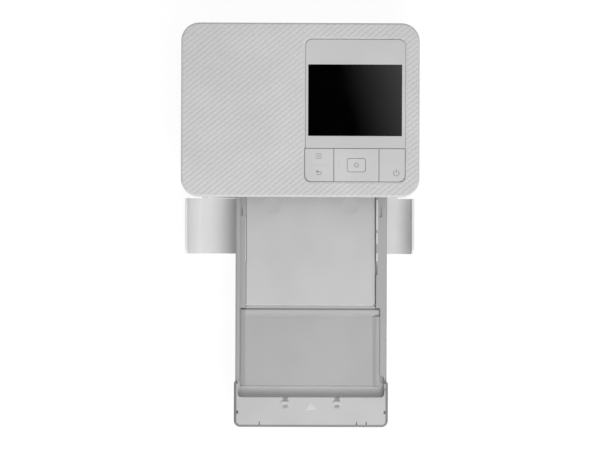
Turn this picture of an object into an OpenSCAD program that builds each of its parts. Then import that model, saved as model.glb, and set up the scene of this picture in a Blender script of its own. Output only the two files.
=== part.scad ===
// Compact dye-sublimation photo printer, set up for printing: front door folded down,
// paper cassette pushed in at the front. Millimetres, +Z up, the printer's front towards -Y.
// The origin is the middle of the whole footprint, cassette included, on the table.
// Depths written as fy(d) are measured backwards from the case's front face.

/* [Case] */
// Width of the case
case_w = 182.2; // [176:0.2:190]
// Depth of the case
case_d = 133; // [131:0.5:140]
// Height of the textured top above the table
case_h = 57.1; // [56.8:0.1:60]
// Radius of the case's four upright corners
corner_r = 14; // [12:0.5:16]
// Thickness of the case walls
wall = 2.2; // [1.8:0.1:2.6]
// Thickness of the case floor
floor_t = 2.2; // [1.8:0.1:2.4]
// Radius along the top rim
rim_r = 1.6; // [0.8:0.1:1.9]
// Height of the joint between bottom case and top cover
seam_z = 50.9; // [50.6:0.1:52]
// Thickness of the top cover
cover_t = 2; // [1.6:0.1:2.2]
// Height of the rubber feet below the case
foot_h = 2; // [1.6:0.1:2.4]
// Radius of the rubber feet
foot_r = 6; // [4:0.5:8]
// Distance of the feet's middles from the case's sides
foot_side = 22; // [20:0.5:26]
// Distance of the feet's middles from the case's front and back
foot_end = 18; // [16:0.5:22]
// Distance of the case screws from the sides and the back
screw_in = 9; // [8.5:0.1:10]
// Distance of the front case screws from the front
screw_front = 24; // [22:0.5:28]
// Distance of the power inlet from the case's left side
inlet_side = 21.1; // [20:0.1:23]
// Distance of the USB socket from the case's left side
usb_side = 39.1; // [37:0.1:41]
// Height of both rear sockets above the table
port_z = 14.6; // [14.4:0.1:16]
// Depth of the card slot's front end behind the case's front face
card_in = 15; // [14.8:0.1:15.6]
// Length of the card slot
card_len = 24.4; // [24.2:0.1:25]
// Height of the card slot's lower edge above the table
card_z = 42.9; // [42:0.1:43.2]
// Height of the card slot
card_h = 3.2; // [2.6:0.1:3.4]

/* [Front door] */
// How far the open door reaches in front of the case
door_reach = 44.4; // [42:0.2:46]
// Thickness of the door
door_t = 1.9; // [1.5:0.1:2.2]
// Gap between the open door and the table
door_lift = 1; // [0.8:0.1:1.4]
// Distance of the door's hinge axis behind the case's front face
hinge_in = 2.6; // [2.5:0.05:2.8]
// How far the door's ends wrap round the case's corners
door_wrap = 13; // [11:0.5:14]
// Radius of the steel hinge pins
hinge_pin_r = 1.1; // [0.9:0.05:1.3]
// Depth of the front frame behind the case's front face
frame_in = 3; // [2.8:0.1:3.4]
// Thickness of the front frame
frame_t = 2; // [1.6:0.1:2.4]

/* [Control panel] */
// Left edge of the panel from the case's middle
panel_left = 4; // [2:0.2:6]
// Width of the panel
panel_w = 76.1; // [75.5:0.1:79]
// Depth of the panel's front edge behind the case's front face
panel_front = 11.7; // [11:0.1:13]
// Length of the key row, front to back
key_len = 25.4; // [24:0.2:27]
// Length of the display bezel, front to back
bezel_len = 83.1; // [80:0.5:86]
// Height of the bezel above the textured top
bezel_rise = 0.5; // [0.3:0.1:0.8]
// Radius of the panel's outer corners
panel_r = 4.8; // [3:0.2:6]
// Width of the display window
window_w = 71.6; // [68:0.2:72.4]
// Length of the display window, front to back
window_len = 54.6; // [50:0.2:58]
// Thickness of the display window
window_t = 1.3; // [1:0.1:1.5]
// Left margin of the window in the panel
window_left = 1.9; // [1.5:0.1:2.4]
// Distance from the window's front edge to the bezel's front edge
window_front = 9.5; // [8:0.5:12]
// Width of the menu and back key
menu_key_w = 22.2; // [20:0.2:23]
// Width of the four-way pad
nav_pad_w = 34.5; // [32:0.2:36]
// Width of the centre button
ok_w = 13.7; // [12:0.1:15]
// Length of the centre button, front to back
ok_len = 10; // [9:0.1:11]
// Gap round each key
key_gap = 0.4; // [0.3:0.05:0.5]
// Travel of the keys
key_travel = 0.5; // [0.3:0.05:0.5]

/* [Cassette] */
// Middle of the cassette to the right of the case's middle
cassette_x = 9; // [8:0.2:10]
// Width of the cassette
cassette_w = 118; // [117:0.2:119]
// Width of its handle block at the outer end
handle_w = 119.8; // [119.4:0.2:122]
// How far the cassette stands out in front of the case
cassette_out = 178.4; // [170:0.2:190]
// How far the cassette reaches into the case
cassette_in = 24; // [22:0.5:24.4]
// Height of the cassette's underside above the table
cassette_z = 18; // [17.6:0.1:18.6]
// Thickness of the cassette's floor and walls
tray_t = 1.6; // [1.2:0.1:2]
// Height of the cover plates' upper face above the table
cover_face_z = 33.2; // [32.8:0.1:33.4]
// Thickness of the cassette's cover plates
leaf_t = 1.5; // [1.2:0.1:1.8]
// Height of the side rails above the table
rail_z = 35.4; // [35:0.1:36]
// Height of the handle block's top above the table
handle_z = 39.4; // [38.5:0.1:40.5]
// Width of the left rail with its shelf
rail_left_w = 8.2; // [7.6:0.1:8.6]
// Width of the left rail's raised wall
rail_wall_w = 3.4; // [3:0.1:4]
// Width of the right side rail
rail_right_w = 8.7; // [8.2:0.1:9]
// Width of the gap between the right rail and the near cover
rail_gap_w = 2.2; // [1.6:0.1:2.6]
// Radius of the rails' outer shoulders
rail_r = 2; // [1.2:0.1:2.4]
// How much of the right rail stays beside the far cover
far_rest_w = 5.3; // [4.6:0.1:6]
// Distance of the seam between the covers in front of the case
seam_out = 85.8; // [80:0.5:92]
// Length of the handle block's flat top
handle_len = 23.4; // [20:0.2:26]
// Length of the scoop in front of the handle block
scoop_len = 7.9; // [7:0.1:9]
// Length of the handle block's side cheeks beside the scoop
cheek_len = 10.5; // [9.6:0.1:12]
// Thickness of the handle block's side cheeks
cheek_t = 3; // [2.6:0.1:3.4]
// Width of the step round the handle block's top
handle_step = 1.1; // [0.8:0.1:1.4]
// Depth of the step round the handle block's top
handle_drop = 3; // [1.5:0.1:4]
// Width of the paper
paper_w = 100; // [100:0.1:101]

/* [Mechanism] */
// Height of the paper path inside the printer
path_z = 31; // [30.8:0.1:31.4]
// Radius of the platen roller
platen_r = 7; // [6:0.2:7.4]
// Depth of the platen behind the case's front face
platen_in = 76; // [75:0.5:77]
// Radius of the steel transport roller
capstan_r = 4; // [3.6:0.1:4.4]
// Radius of the pinch roller
pinch_r = 3.5; // [3:0.1:3.6]
// Gear module, pitch diameter over teeth
gear_m = 0.8; // [0.76:0.01:0.81]
// Width of the gears
gear_w = 4; // [3:0.2:4.6]
// Radius of the pick-up rollers
pick_r = 7; // [6:0.1:7]
// Width of the pick-up rollers
pick_w = 8; // [6:0.2:8.4]
// Depth of the pick-up rollers behind the case's front face
pick_in = 13; // [12.6:0.1:13.4]
// Distance of each pick-up roller from the cassette's middle
pick_x = 30; // [28:0.2:32]
// Outer radius of the ribbon cartridge's two barrels
barrel_r = 8.5; // [8:0.1:8.6]
// Wall of the cartridge's barrels
barrel_t = 1.2; // [0.9:0.1:1.4]
// Thickness of the chassis side plates
plate_t = 1.5; // [1:0.1:2]
// Radius of the stepper motor
motor_r = 9.8; // [8:0.1:9.8]

/* [Ribbon door] */
// Depth of the ribbon door's front edge behind the case's front face
ribbon_in = 42; // [41.5:0.5:44]
// Length of the ribbon door
ribbon_len = 70; // [68:0.5:71]
// Height of the ribbon door's lower edge above the table
ribbon_z = 8; // [7:0.2:9]
// Height of the ribbon door
ribbon_h = 39.5; // [38:0.5:41]
// Gap round the ribbon door
ribbon_gap = 0.3; // [0.2:0.05:0.5]

/* [Fits] */
// Radial running clearance of shafts in their bores
run = 0.05; // [0.02:0.01:0.08]
// Gap between parts that sit side by side
gap = 0.3; // [0.2:0.05:0.35]

/* [Hidden] */
$fn = 48;

// Frame: everything is placed from the case's front face
front_y = (cassette_out - case_d) / 2;
function fy(d) = front_y + d;
half_w = case_w / 2;

// Case screws
screw_places_x = [-half_w + screw_in, half_w - screw_in];
screw_places_d = [screw_front, case_d - screw_in];
screw_r = 1.3;

// Front door and its hinge
hinge_z = door_lift + hinge_in;
bead_r = hinge_in;
door_near = 2.9;
door_far = hinge_in + door_reach;
lip_z = hinge_z + door_near - 0.2;
tab_x = half_w - corner_r - 8;
tab_w = 4;
ear_gap = gap;

// Control panel
panel_right = panel_left + panel_w;
bezel_front = panel_front + key_len;
bezel_back = bezel_front + bezel_len;
window_x = panel_left + window_left;
window_in = bezel_front + window_front;
panel_top = case_h + bezel_rise;
cover_under = case_h - cover_t;
flange = 1.6;
flange_t = 1;
flange_z = cover_under - flange_t;
key_top = case_h + 0.2;
menu_x = panel_left - 0.6;
nav_x = menu_x + menu_key_w;
power_x = nav_x + nav_pad_w;
nav_mid_x = nav_x + nav_pad_w / 2;
key_mid = panel_front + key_len / 2;
board_z = case_h - 5.9;
board_t = 1;
dome_h = 0.7;
dome_r = 2.4;
dome_z = board_z + board_t;
stem_z = dome_z + dome_h + key_travel + 0.1;
nav_reach_x = 12;
nav_reach_y = 8.5;

// Rear sockets
inlet_r = 3.2;
inlet_left = half_w - inlet_side;
usb_half = 4;
usb_left = half_w - usb_side;

// Cassette
cover_leaf_z = cover_face_z - leaf_t;
tray_left = cassette_x - cassette_w / 2;
tray_right = cassette_x + cassette_w / 2;
handle_in = -cassette_out + handle_len;
scoop_in = handle_in + scoop_len;
cheek_in = handle_in + cheek_len;
handle_r = 5;
nub_x = 20.1;
nub_w = 4.8;
nub_len = 5.6;
cover_left = tray_left + rail_left_w;
cover_right = tray_right - rail_right_w - rail_gap_w;
far_left = tray_left + rail_wall_w + 0.2;
far_right = tray_right - far_rest_w;
shelf_z = cover_face_z - 0.2;
slot_w = pick_w + 2;
slot_out = -0.4;
leaf_hinge_r = 1.3;
leaf_pin_r = 0.7;
leaf_axis_z = cover_face_z - leaf_hinge_r;

// Paper path and gear train
platen_z = path_z - platen_r;
capstan_z = path_z - capstan_r;
platen_teeth = 25;
capstan_teeth = 25;
idler_teeth = 24;
takeup_teeth = 20;
pinion_teeth = 12;
pick_teeth = 12;
function mesh_distance(a, b) = gear_m * (a + b) / 2;
roller_span = 36;
capstan_in = platen_in - sqrt(pow(roller_span, 2) - pow(capstan_z - platen_z, 2));
idler_reach = mesh_distance(platen_teeth, idler_teeth);
line_tilt = atan2(capstan_z - platen_z, platen_in - capstan_in);
idler_drop = sqrt(pow(idler_reach, 2) - pow(roller_span / 2, 2));
idler_in = (platen_in + capstan_in) / 2 - idler_drop * sin(line_tilt);
idler_z = (platen_z + capstan_z) / 2 - idler_drop * cos(line_tilt);
spool_z = path_z + 1 + barrel_r;
takeup_reach = mesh_distance(capstan_teeth, takeup_teeth);
takeup_in = capstan_in + sqrt(pow(takeup_reach, 2) - pow(spool_z - capstan_z, 2));
supply_in = platen_in + 2 * barrel_r + 7.8;
pinion_reach = mesh_distance(platen_teeth, pinion_teeth);
motor_drop = 40;
motor_in = platen_in + pinion_reach * cos(motor_drop);
motor_z = platen_z - pinion_reach * sin(motor_drop);
pick_step = 12;
pick_reach = mesh_distance(capstan_teeth, pick_teeth);
pick_drive_in = capstan_in - pick_step;
pick_drive_z = capstan_z + sqrt(pow(pick_reach, 2) - pow(pick_step, 2));
pick_z = cover_face_z + gap + pick_r;
pinch_z = path_z + pinch_r + 0.2;
left_plate_x = tray_left - 7.5;
right_plate_x = tray_right + 8.5;
gear_x = left_plate_x - plate_t - 0.8 - gear_w;
shaft_left = gear_x - 2;
plate_in = 22;
plate_out = case_d - 15;
plate_z = foot_h + floor_t;
plate_top = seam_z - 0.5;
head_pivot_in = plate_out - 3.5;
head_pivot_z = 44;
head_sheet_z = spool_z + barrel_r + 0.4;
head_left = cassette_x - paper_w / 2 - 1;
head_right = cassette_x + paper_w / 2 + 1;
supply_film_r = 6.6;
takeup_film_r = 5;
cartridge_left = left_plate_x + 4;
cartridge_right = right_plate_x - 3;

// Solid block from its lower and upper corners, depths behind the case's front face
module block(x0, x1, d0, d1, z0, z1) {
    translate([x0, fy(d0), z0])
        cube([x1 - x0, d1 - d0, z1 - z0]);
}

// Rod along X
module rod(x0, x1, d, z, r) {
    translate([x0, fy(d), z])
        rotate([0, 90, 0])
            cylinder(r = r, h = x1 - x0);
}

// Rod along Y
module rod_y(x, d0, d1, z, r) {
    translate([x, fy(d0), z])
        rotate([-90, 0, 0])
            cylinder(r = r, h = d1 - d0);
}

// Rectangle with round corners, flat
module round_rect(x0, x1, y0, y1, r) {
    translate([x0 + r, y0])
        square([x1 - x0 - 2 * r, y1 - y0]);
    translate([x0, y0 + r])
        square([x1 - x0, y1 - y0 - 2 * r]);
    for (x = [x0 + r, x1 - r])
        for (y = [y0 + r, y1 - r])
            translate([x, y])
                circle(r = r);
}

// Upright prism on a rectangle with round corners
module round_block(x0, x1, d0, d1, z0, z1, r) {
    translate([0, 0, z0])
        linear_extrude(height = z1 - z0)
            round_rect(x0, x1, fy(d0), fy(d1), r);
}

// Case outline, set in from the outer faces all round
module case_prism(inset, z0, z1) {
    round_block(-half_w + inset, half_w - inset, inset, case_d - inset, z0, z1, corner_r - inset);
}

// Profile of the top rim: a quarter round with a root that reaches into the lid's body
module rim_profile() {
    root = 0.4;
    intersection() {
        circle(r = rim_r);
        square([rim_r, rim_r]);
    }
    translate([-root, -root])
        square([rim_r + root, root]);
    translate([-root, -root])
        square([root, rim_r + root]);
}

// Quarter bead along one side of the top rim
module rim_side(length) {
    rotate([90, 0, 90])
        linear_extrude(height = length)
            rim_profile();
}

// Spur gear on an axis along X, with one tooth pointing along the angle given from +Y
module spur(x0, x1, d, z, teeth, angle, bore) {
    pitch = gear_m * teeth / 2;
    root = pitch - 1.25 * gear_m;
    tip = pitch + 0.9 * gear_m;
    step = 360 / teeth;
    outline = [for (i = [0:teeth - 1])
        for (p = [[root, -0.27], [tip, -0.1], [tip, 0.1], [root, 0.27]])
            p[0] * [cos((i + p[1]) * step + angle), sin((i + p[1]) * step + angle)]];
    translate([x0, fy(d), z])
        rotate([90, 0, 90])
            linear_extrude(height = x1 - x0)
                difference() {
                    polygon(outline);
                    circle(r = bore);
                }
}

// Angle that brings gear B into mesh with gear A, whose tooth points at angle_a
function mesh_angle(angle_a, teeth_a, teeth_b, line) =
    line + 180 - (angle_a - line) * teeth_a / teeth_b + 180 / teeth_b;
function line_to(d0, z0, d1, z1) = atan2(z1 - z0, d1 - d0);
platen_angle = 0;
idler_angle = mesh_angle(platen_angle, platen_teeth, idler_teeth,
    line_to(platen_in, platen_z, idler_in, idler_z));
capstan_angle = mesh_angle(idler_angle, idler_teeth, capstan_teeth,
    line_to(idler_in, idler_z, capstan_in, capstan_z));
takeup_angle = mesh_angle(capstan_angle, capstan_teeth, takeup_teeth,
    line_to(capstan_in, capstan_z, takeup_in, spool_z));
pick_angle = mesh_angle(capstan_angle, capstan_teeth, pick_teeth,
    line_to(capstan_in, capstan_z, pick_drive_in, pick_drive_z));
pinion_angle = mesh_angle(platen_angle, platen_teeth, pinion_teeth,
    line_to(platen_in, platen_z, motor_in, motor_z));

// Moulded lower housing: floor, walls, hinge bead along the front, all openings of the sides
module bottom_case() {
    color([0.80, 0.80, 0.80])
    difference() {
        union() {
            difference() {
                case_prism(0, foot_h, seam_z);
                intersection() {
                    case_prism(wall, plate_z, seam_z + 1);
                    block(-half_w, half_w, hinge_in + wall, case_d, 0, seam_z + 2);
                }
                block(-half_w - 1, half_w + 1, -1, door_wrap + gap, lip_z, seam_z + 1);
                block(-half_w - 1, half_w + 1, -1, hinge_in, 0, lip_z + 1);
            }
            rod(-tab_x - tab_w - 5, tab_x + tab_w + 5, hinge_in, hinge_z, bead_r);
            for (x = screw_places_x)
                for (d = screw_places_d)
                    translate([x, fy(d), plate_z - 0.1])
                        cylinder(r = 3.6, h = 18);
            for (x = [-40, 56])
                for (d = [42, 108])
                    translate([x, fy(d), plate_z - 0.1])
                        cylinder(r = 2.6, h = 3.9);
            ribbon_ears();
        }
        door_tab_notches();
        ribbon_opening();
        side_and_rear_openings();
        screw_and_foot_holes();
    }
}

// Bosses on the right wall that hold the ribbon door's pin at both ends
module ribbon_ears() {
    for (d = [ribbon_in - 4, ribbon_in + ribbon_len + gap])
        block(half_w - wall - 2.8, half_w - wall + 0.1, d, d + 3.7, plate_z - 0.1, ribbon_z + 5);
}

// Room for the front door's two hinge tabs, and the bores of their pins
module door_tab_notches() {
    for (s = [-1, 1]) {
        translate([s * (tab_x + tab_w / 2), 0, 0])
            block(-tab_w / 2 - ear_gap, tab_w / 2 + ear_gap, -1, hinge_in + bead_r + gap, 0, lip_z + 1);
        translate([s * (tab_x + tab_w / 2), 0, 0])
            rod(-tab_w / 2 - 5, tab_w / 2 + 5, hinge_in, hinge_z, hinge_pin_r);
    }
}

// Opening in the right wall behind the ribbon door
module ribbon_opening() {
    block(half_w - wall - 0.1, half_w + 1, ribbon_in - ribbon_gap, ribbon_in + ribbon_len + ribbon_gap,
        ribbon_z - ribbon_gap, ribbon_z + ribbon_h + ribbon_gap);
    rod_y(half_w - 2, ribbon_in - 4.1, ribbon_in + ribbon_len + 4.1, ribbon_z + 2, 0.9);
}

// Card slot, vents, paper slot at the back, power and USB openings
module side_and_rear_openings() {
    block(half_w - wall - 1, half_w + 1, card_in, card_in + card_len, card_z, card_z + card_h);
    for (i = [0:9])
        block(-half_w - 1, -half_w + wall + 1, 60 + 5 * i, 62.4 + 5 * i, 22, 40);
    for (i = [0:11])
        block(20 + 5 * i, 22.4 + 5 * i, case_d - wall - 1, case_d + 1, 12, 24);
    block(cassette_x - paper_w / 2 - 3, cassette_x + paper_w / 2 + 3, case_d - wall - 1, case_d + 1,
        path_z - 2.5, path_z + 3.5);
    rod_y(-inlet_left, case_d - wall - 1, case_d + 1, port_z, inlet_r + 1);
    round_slot(-usb_left, port_z, usb_half + 0.6, 1.7);
}

// Horizontal slot with round ends through the rear wall
module round_slot(x, z, half_length, r) {
    block(x - half_length + r, x + half_length - r, case_d - wall - 1, case_d + 1, z - r, z + r);
    for (s = [-1, 1])
        rod_y(x + s * (half_length - r), case_d - wall - 1, case_d + 1, z, r);
}

// Screw bores with countersunk seats, and shallow round seats for the feet
module screw_and_foot_holes() {
    for (x = screw_places_x)
        for (d = screw_places_d) {
            translate([x, fy(d), 0])
                cylinder(r = screw_r, h = 22);
            translate([x, fy(d), 0])
                cylinder(r = 2.9, h = foot_h + 1.2);
        }
    for (x = [-half_w + foot_side, half_w - foot_side])
        for (d = [foot_end, case_d - foot_end])
            translate([x, fy(d), 0])
                cylinder(r = foot_r + 0.05, h = foot_h + 0.6);
}

// Textured lid with a rounded rim, the panel opening and a locating rib
module top_cover() {
    inset = wall + 0.1;
    color([0.77, 0.77, 0.77])
    difference() {
        union() {
            case_prism(0, seam_z, case_h - rim_r);
            case_prism(rim_r, seam_z, case_h);
            for (s = [0, 1])
                mirror([s, 0, 0])
                    translate([half_w - rim_r, fy(corner_r), case_h - rim_r])
                        rotate([0, 0, 90])
                            mirror([0, 1, 0])
                                rim_side(case_d - 2 * corner_r);
            translate([-half_w + corner_r, fy(case_d - rim_r), case_h - rim_r])
                rim_side(case_w - 2 * corner_r);
            translate([-half_w + corner_r, fy(rim_r), case_h - rim_r])
                mirror([0, 1, 0])
                    rim_side(case_w - 2 * corner_r);
            for (x = [-1, 1])
                for (d = [corner_r, case_d - corner_r])
                    translate([x * (half_w - corner_r), fy(d), case_h - rim_r])
                        rotate_extrude()
                            translate([corner_r - rim_r, 0])
                                rim_profile();
            intersection() {
                difference() {
                    case_prism(inset, seam_z - 2, seam_z + 1);
                    case_prism(inset + 1.5, seam_z - 3, seam_z + 2);
                }
                block(-half_w, half_w, 24, case_d, 0, case_h);
            }
        }
        difference() {
            case_prism(wall + 0.8, seam_z - 1, cover_under);
            block(-half_w, half_w, -1, wall + 1.2, 0, case_h);
        }
        panel_hole(key_gap / 2, cover_under - 1, case_h + 1);
    }
}

// Opening of the control panel, a little larger than the panel all round
module panel_hole(space, z0, z1) {
    round_block(panel_left - space, panel_right + space, bezel_front, bezel_back + space, z0, z1, panel_r);
    block(panel_left - space, panel_right + space, bezel_front - 1, bezel_front + 8, z0, z1);
    round_block(menu_x - space, panel_right + space, panel_front - space, bezel_front + 4, z0, z1, panel_r);
    block(menu_x - space, panel_right + space, panel_front + 8, bezel_front - 0.2, z0, z1);
}

// Inner front wall with the mouth for the cassette and the way out for prints
module front_frame() {
    color([0.74, 0.74, 0.74])
    difference() {
        intersection() {
            case_prism(frame_in, lip_z, seam_z - 0.1);
            block(-half_w, half_w, frame_in, door_wrap + 1.2, 0, case_h);
        }
        case_prism(frame_in + frame_t, lip_z - 1, seam_z);
        block(tray_left - 1.4, tray_right + 1.4, 0, 21, cassette_z - 1, seam_z - 2.4);
    }
}

// Fold-down front door lying open: flat plate whose ends curl up with the case's corners
module front_door() {
    near = hinge_in - door_near;
    color([0.78, 0.78, 0.78])
    difference() {
        union() {
            intersection() {
                translate([0, fy(near), 0])
                    rotate([90, 0, 0])
                        linear_extrude(height = door_far - door_near)
                            difference() {
                                round_rect(-half_w, half_w, door_lift, door_lift + 60, corner_r);
                                round_rect(-half_w + door_t, half_w - door_t, door_lift + door_t,
                                    door_lift + 61, corner_r - door_t);
                            }
                door_outline();
            }
            for (s = [-1, 1])
                translate([s * (tab_x + tab_w / 2), 0, 0])
                    door_tab(near);
        }
        for (s = [-1, 1])
            translate([s * (tab_x + tab_w / 2), 0, 0])
                rod(-tab_w, tab_w, hinge_in, hinge_z, hinge_pin_r + run);
    }
}

// Side view of the door's ends, with round corners at the free edge
module door_outline() {
    tall = door_lift + door_wrap;
    r = 4;
    translate([-half_w - 1, 0, 0])
        rotate([90, 0, 90])
            linear_extrude(height = case_w + 2)
                union() {
                    translate([fy(-door_reach), 0])
                        square([door_far - door_near, tall - r]);
                    translate([fy(-door_reach) + r, 0])
                        square([door_far - door_near - r, tall]);
                    translate([fy(-door_reach) + r, tall - r])
                        circle(r = r);
                }
}

// Hinge tab: an eye round the pin, joined to the plate
module door_tab(near) {
    rod(-tab_w / 2, tab_w / 2, hinge_in, hinge_z, hinge_in - 0.2);
    block(-tab_w / 2, tab_w / 2, near - 1, hinge_in, door_lift, door_lift + door_t + 0.3);
}

// Two steel pins pressed into the bead, on which the door's tabs turn
module door_hinge_pins() {
    color([0.7, 0.7, 0.72])
    for (s = [-1, 1])
        translate([s * (tab_x + tab_w / 2), 0, 0])
            rod(-tab_w / 2 - 4.8, tab_w / 2 + 4.8, hinge_in, hinge_z, hinge_pin_r);
}

// Side door over the ribbon compartment, flush with the wall, with a hinge bead at its foot
module ribbon_door() {
    back = ribbon_in + ribbon_len;
    top = ribbon_z + ribbon_h;
    color([0.80, 0.80, 0.80])
    difference() {
        union() {
            block(half_w - wall, half_w, ribbon_in, back, ribbon_z + 2, top);
            rod_y(half_w - 2, ribbon_in, back, ribbon_z + 2, 2);
            block(half_w - wall - 1.5, half_w - wall + 0.1, ribbon_in + 8, ribbon_in + 9.5,
                ribbon_z + 8, top - 4);
            block(half_w - wall - 1.5, half_w - wall + 0.1, back - 9.5, back - 8,
                ribbon_z + 8, top - 4);
            block(half_w - wall - 2, half_w - wall + 0.1, ribbon_in + ribbon_len / 2 - 5,
                ribbon_in + ribbon_len / 2 + 5, top - 4, top - 2.6);
        }
        rod_y(half_w - 2, ribbon_in - 1, back + 1, ribbon_z + 2, 0.9 + run);
        translate([half_w + 2, fy(ribbon_in + ribbon_len / 2), top - 0.2])
            sphere(r = 3.6);
    }
}

// Steel pin of the ribbon door, held in the bosses before and behind it
module ribbon_door_pin() {
    color([0.7, 0.7, 0.72])
    rod_y(half_w - 2, ribbon_in - 3.8, ribbon_in + ribbon_len + 3.8, ribbon_z + 2, 0.9);
}

// Raised bezel round the display, with a flange under the lid and a seat for the window
module display_bezel() {
    color([0.75, 0.75, 0.75])
    difference() {
        union() {
            bezel_plate(0, cover_under - 0.2, panel_top);
            bezel_plate(flange, flange_z, cover_under);
        }
        block(window_x, window_x + window_w, window_in, window_in + window_len,
            panel_top - window_t - 0.2, panel_top + 1);
        block(window_x + 0.9, window_x + window_w - 0.9, window_in + 0.9, window_in + window_len - 0.9,
            flange_z - 1, panel_top);
    }
}

// Bezel outline: round corners at the back, square towards the keys
module bezel_plate(grow, z0, z1) {
    round_block(panel_left - grow, panel_right + grow, bezel_front + 8, bezel_back + grow,
        z0, z1, panel_r);
    block(panel_left - grow, panel_right + grow, bezel_front + key_gap / 2, bezel_front + 16, z0, z1);
}

// Black gloss window let into the bezel
module display_window() {
    space = 0.1;
    color([0.04, 0.04, 0.05])
    round_block(window_x + space, window_x + window_w - space, window_in + space,
        window_in + window_len - space, panel_top - window_t - 0.2, panel_top - 0.2, 0.8);
}

// Display module in the bezel's frame, under the window
module display_module() {
    z1 = panel_top - window_t - 0.3;
    color([0.2, 0.2, 0.22])
    difference() {
        block(window_x + 1.1, window_x + window_w - 1.1, window_in + 1.1, window_in + window_len - 1.1,
            z1 - 2.8, z1);
        block(window_x + 3, window_x + window_w - 3, window_in + 6, window_in + window_len - 3,
            z1 - 0.3, z1 + 1);
    }
}

// Key cap between X limits; its outer front corners are round
module key_cap(x0, x1, left_r, right_r, z0, z1) {
    d0 = panel_front + key_gap / 2;
    d1 = panel_front + key_len - key_gap / 2;
    difference() {
        block(x0, x1, d0, d1, z0, z1);
        if (left_r > 0)
            corner_cut(x0, d0, left_r, 1, z0);
        if (right_r > 0)
            corner_cut(x1, d0, right_r, -1, z0);
    }
}

// What a round upright corner takes off a block
module corner_cut(x, d, r, side, z0) {
    difference() {
        translate([side > 0 ? x - 1 : x - r, fy(d) - 1, z0 - 1])
            cube([r + 1, r + 1, 6]);
        translate([x + side * r, fy(d) + r, z0 - 2])
            cylinder(r = r, h = 8);
    }
}

// Rocker with the menu and back ends, rocking on a round rib over the board
module menu_back_key() {
    x0 = menu_x + key_gap / 2;
    x1 = menu_x + menu_key_w - key_gap / 2;
    color([0.78, 0.78, 0.78])
    union() {
        key_cap(x0, x1, panel_r, 0, cover_under, key_top);
        block(x0 + 4, x1 - 4, key_mid - 0.8, key_mid + 0.8, dome_z + 1.1, cover_under + 0.1);
        rod(x0 + 4, x1 - 4, key_mid, dome_z + 1.1, 0.8);
        for (s = [-1, 1])
            translate([(x0 + x1) / 2, fy(key_mid + s * nav_reach_y), stem_z])
                cylinder(r = 1.6, h = cover_under - stem_z + 0.1);
    }
}

// Thin plate under the four-way pad, on which the pad tilts
module nav_tilt_plate() {
    z = dome_z + 0.9;
    color([0.5, 0.5, 0.5])
    difference() {
        union() {
            block(nav_mid_x - 6.6, nav_mid_x + 6.6, key_mid - 5.4, key_mid + 5.4, z, z + 0.6);
            rod(nav_mid_x - 9.2, nav_mid_x + 9.2, key_mid, z + 0.3, 0.5);
        }
        block(nav_mid_x - 4, nav_mid_x + 4, key_mid - 3.4, key_mid + 3.4, z - 1, z + 2);
    }
}

// Four-way pad with the hole for the centre button
module nav_pad() {
    z = dome_z + 1.6;
    color([0.78, 0.78, 0.78])
    difference() {
        union() {
            key_cap(nav_x + key_gap / 2, nav_x + nav_pad_w - key_gap / 2, 0, 0, cover_under - 0.5, key_top);
            for (s = [-1, 1]) {
                translate([nav_mid_x + s * nav_reach_x, fy(key_mid), stem_z])
                    cylinder(r = 1.4, h = cover_under - stem_z);
                translate([nav_mid_x, fy(key_mid + s * nav_reach_y), stem_z])
                    cylinder(r = 1.4, h = cover_under - stem_z);
                block(nav_mid_x - 0.6, nav_mid_x + 0.6, key_mid + s * 4.4 - 0.6, key_mid + s * 4.4 + 0.6,
                    z, cover_under);
            }
        }
        round_block(nav_mid_x - ok_w / 2 - gap, nav_mid_x + ok_w / 2 + gap, key_mid - ok_len / 2 - gap,
            key_mid + ok_len / 2 + gap, cover_under + 0.2, key_top + 1, 1.6 + gap);
        round_block(nav_mid_x - 3.4, nav_mid_x + 3.4, key_mid - 2.8, key_mid + 2.8,
            cover_under - 2, key_top, 1);
    }
}

// Centre button on its stem
module ok_button() {
    color([0.76, 0.76, 0.76])
    union() {
        round_block(nav_mid_x - ok_w / 2, nav_mid_x + ok_w / 2, key_mid - ok_len / 2,
            key_mid + ok_len / 2, cover_under + 0.7 + key_travel, key_top - 0.1, 1.6);
        translate([nav_mid_x, fy(key_mid), stem_z])
            cylinder(r = 2, h = key_top - stem_z - 0.5);
    }
}

// Power key
module power_key() {
    x0 = power_x + key_gap / 2;
    x1 = panel_right - key_gap / 2;
    color([0.78, 0.78, 0.78])
    union() {
        key_cap(x0, x1, 0, panel_r, cover_under, key_top);
        translate([(x0 + x1) / 2, fy(key_mid), stem_z])
            cylinder(r = 1.8, h = cover_under - stem_z + 0.1);
        block(x0 + 3, x0 + 4, key_mid - 8, key_mid + 8, stem_z + 0.6, cover_under + 0.1);
        block(x1 - 4, x1 - 3, key_mid - 8, key_mid + 8, stem_z + 0.6, cover_under + 0.1);
    }
}

// Circuit board under the keys, hung from the lid by two posts
module key_board() {
    color([0.1, 0.35, 0.2])
    union() {
        block(menu_x - 4, panel_right + 3, panel_front, panel_front + key_len + 1,
            board_z, board_z + board_t);
        for (x = [menu_x - 2.4, panel_right + 1.8])
            translate([x, fy(key_mid), board_z + board_t - 0.1])
                cylinder(r = 1, h = cover_under - board_z - board_t + 0.1);
        for (s = [-1, 1])
            block(nav_mid_x + s * 8 - 0.8, nav_mid_x + s * 8 + 0.8, key_mid - 1, key_mid + 1,
                dome_z - 0.1, dome_z + 0.5);
    }
}

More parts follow.
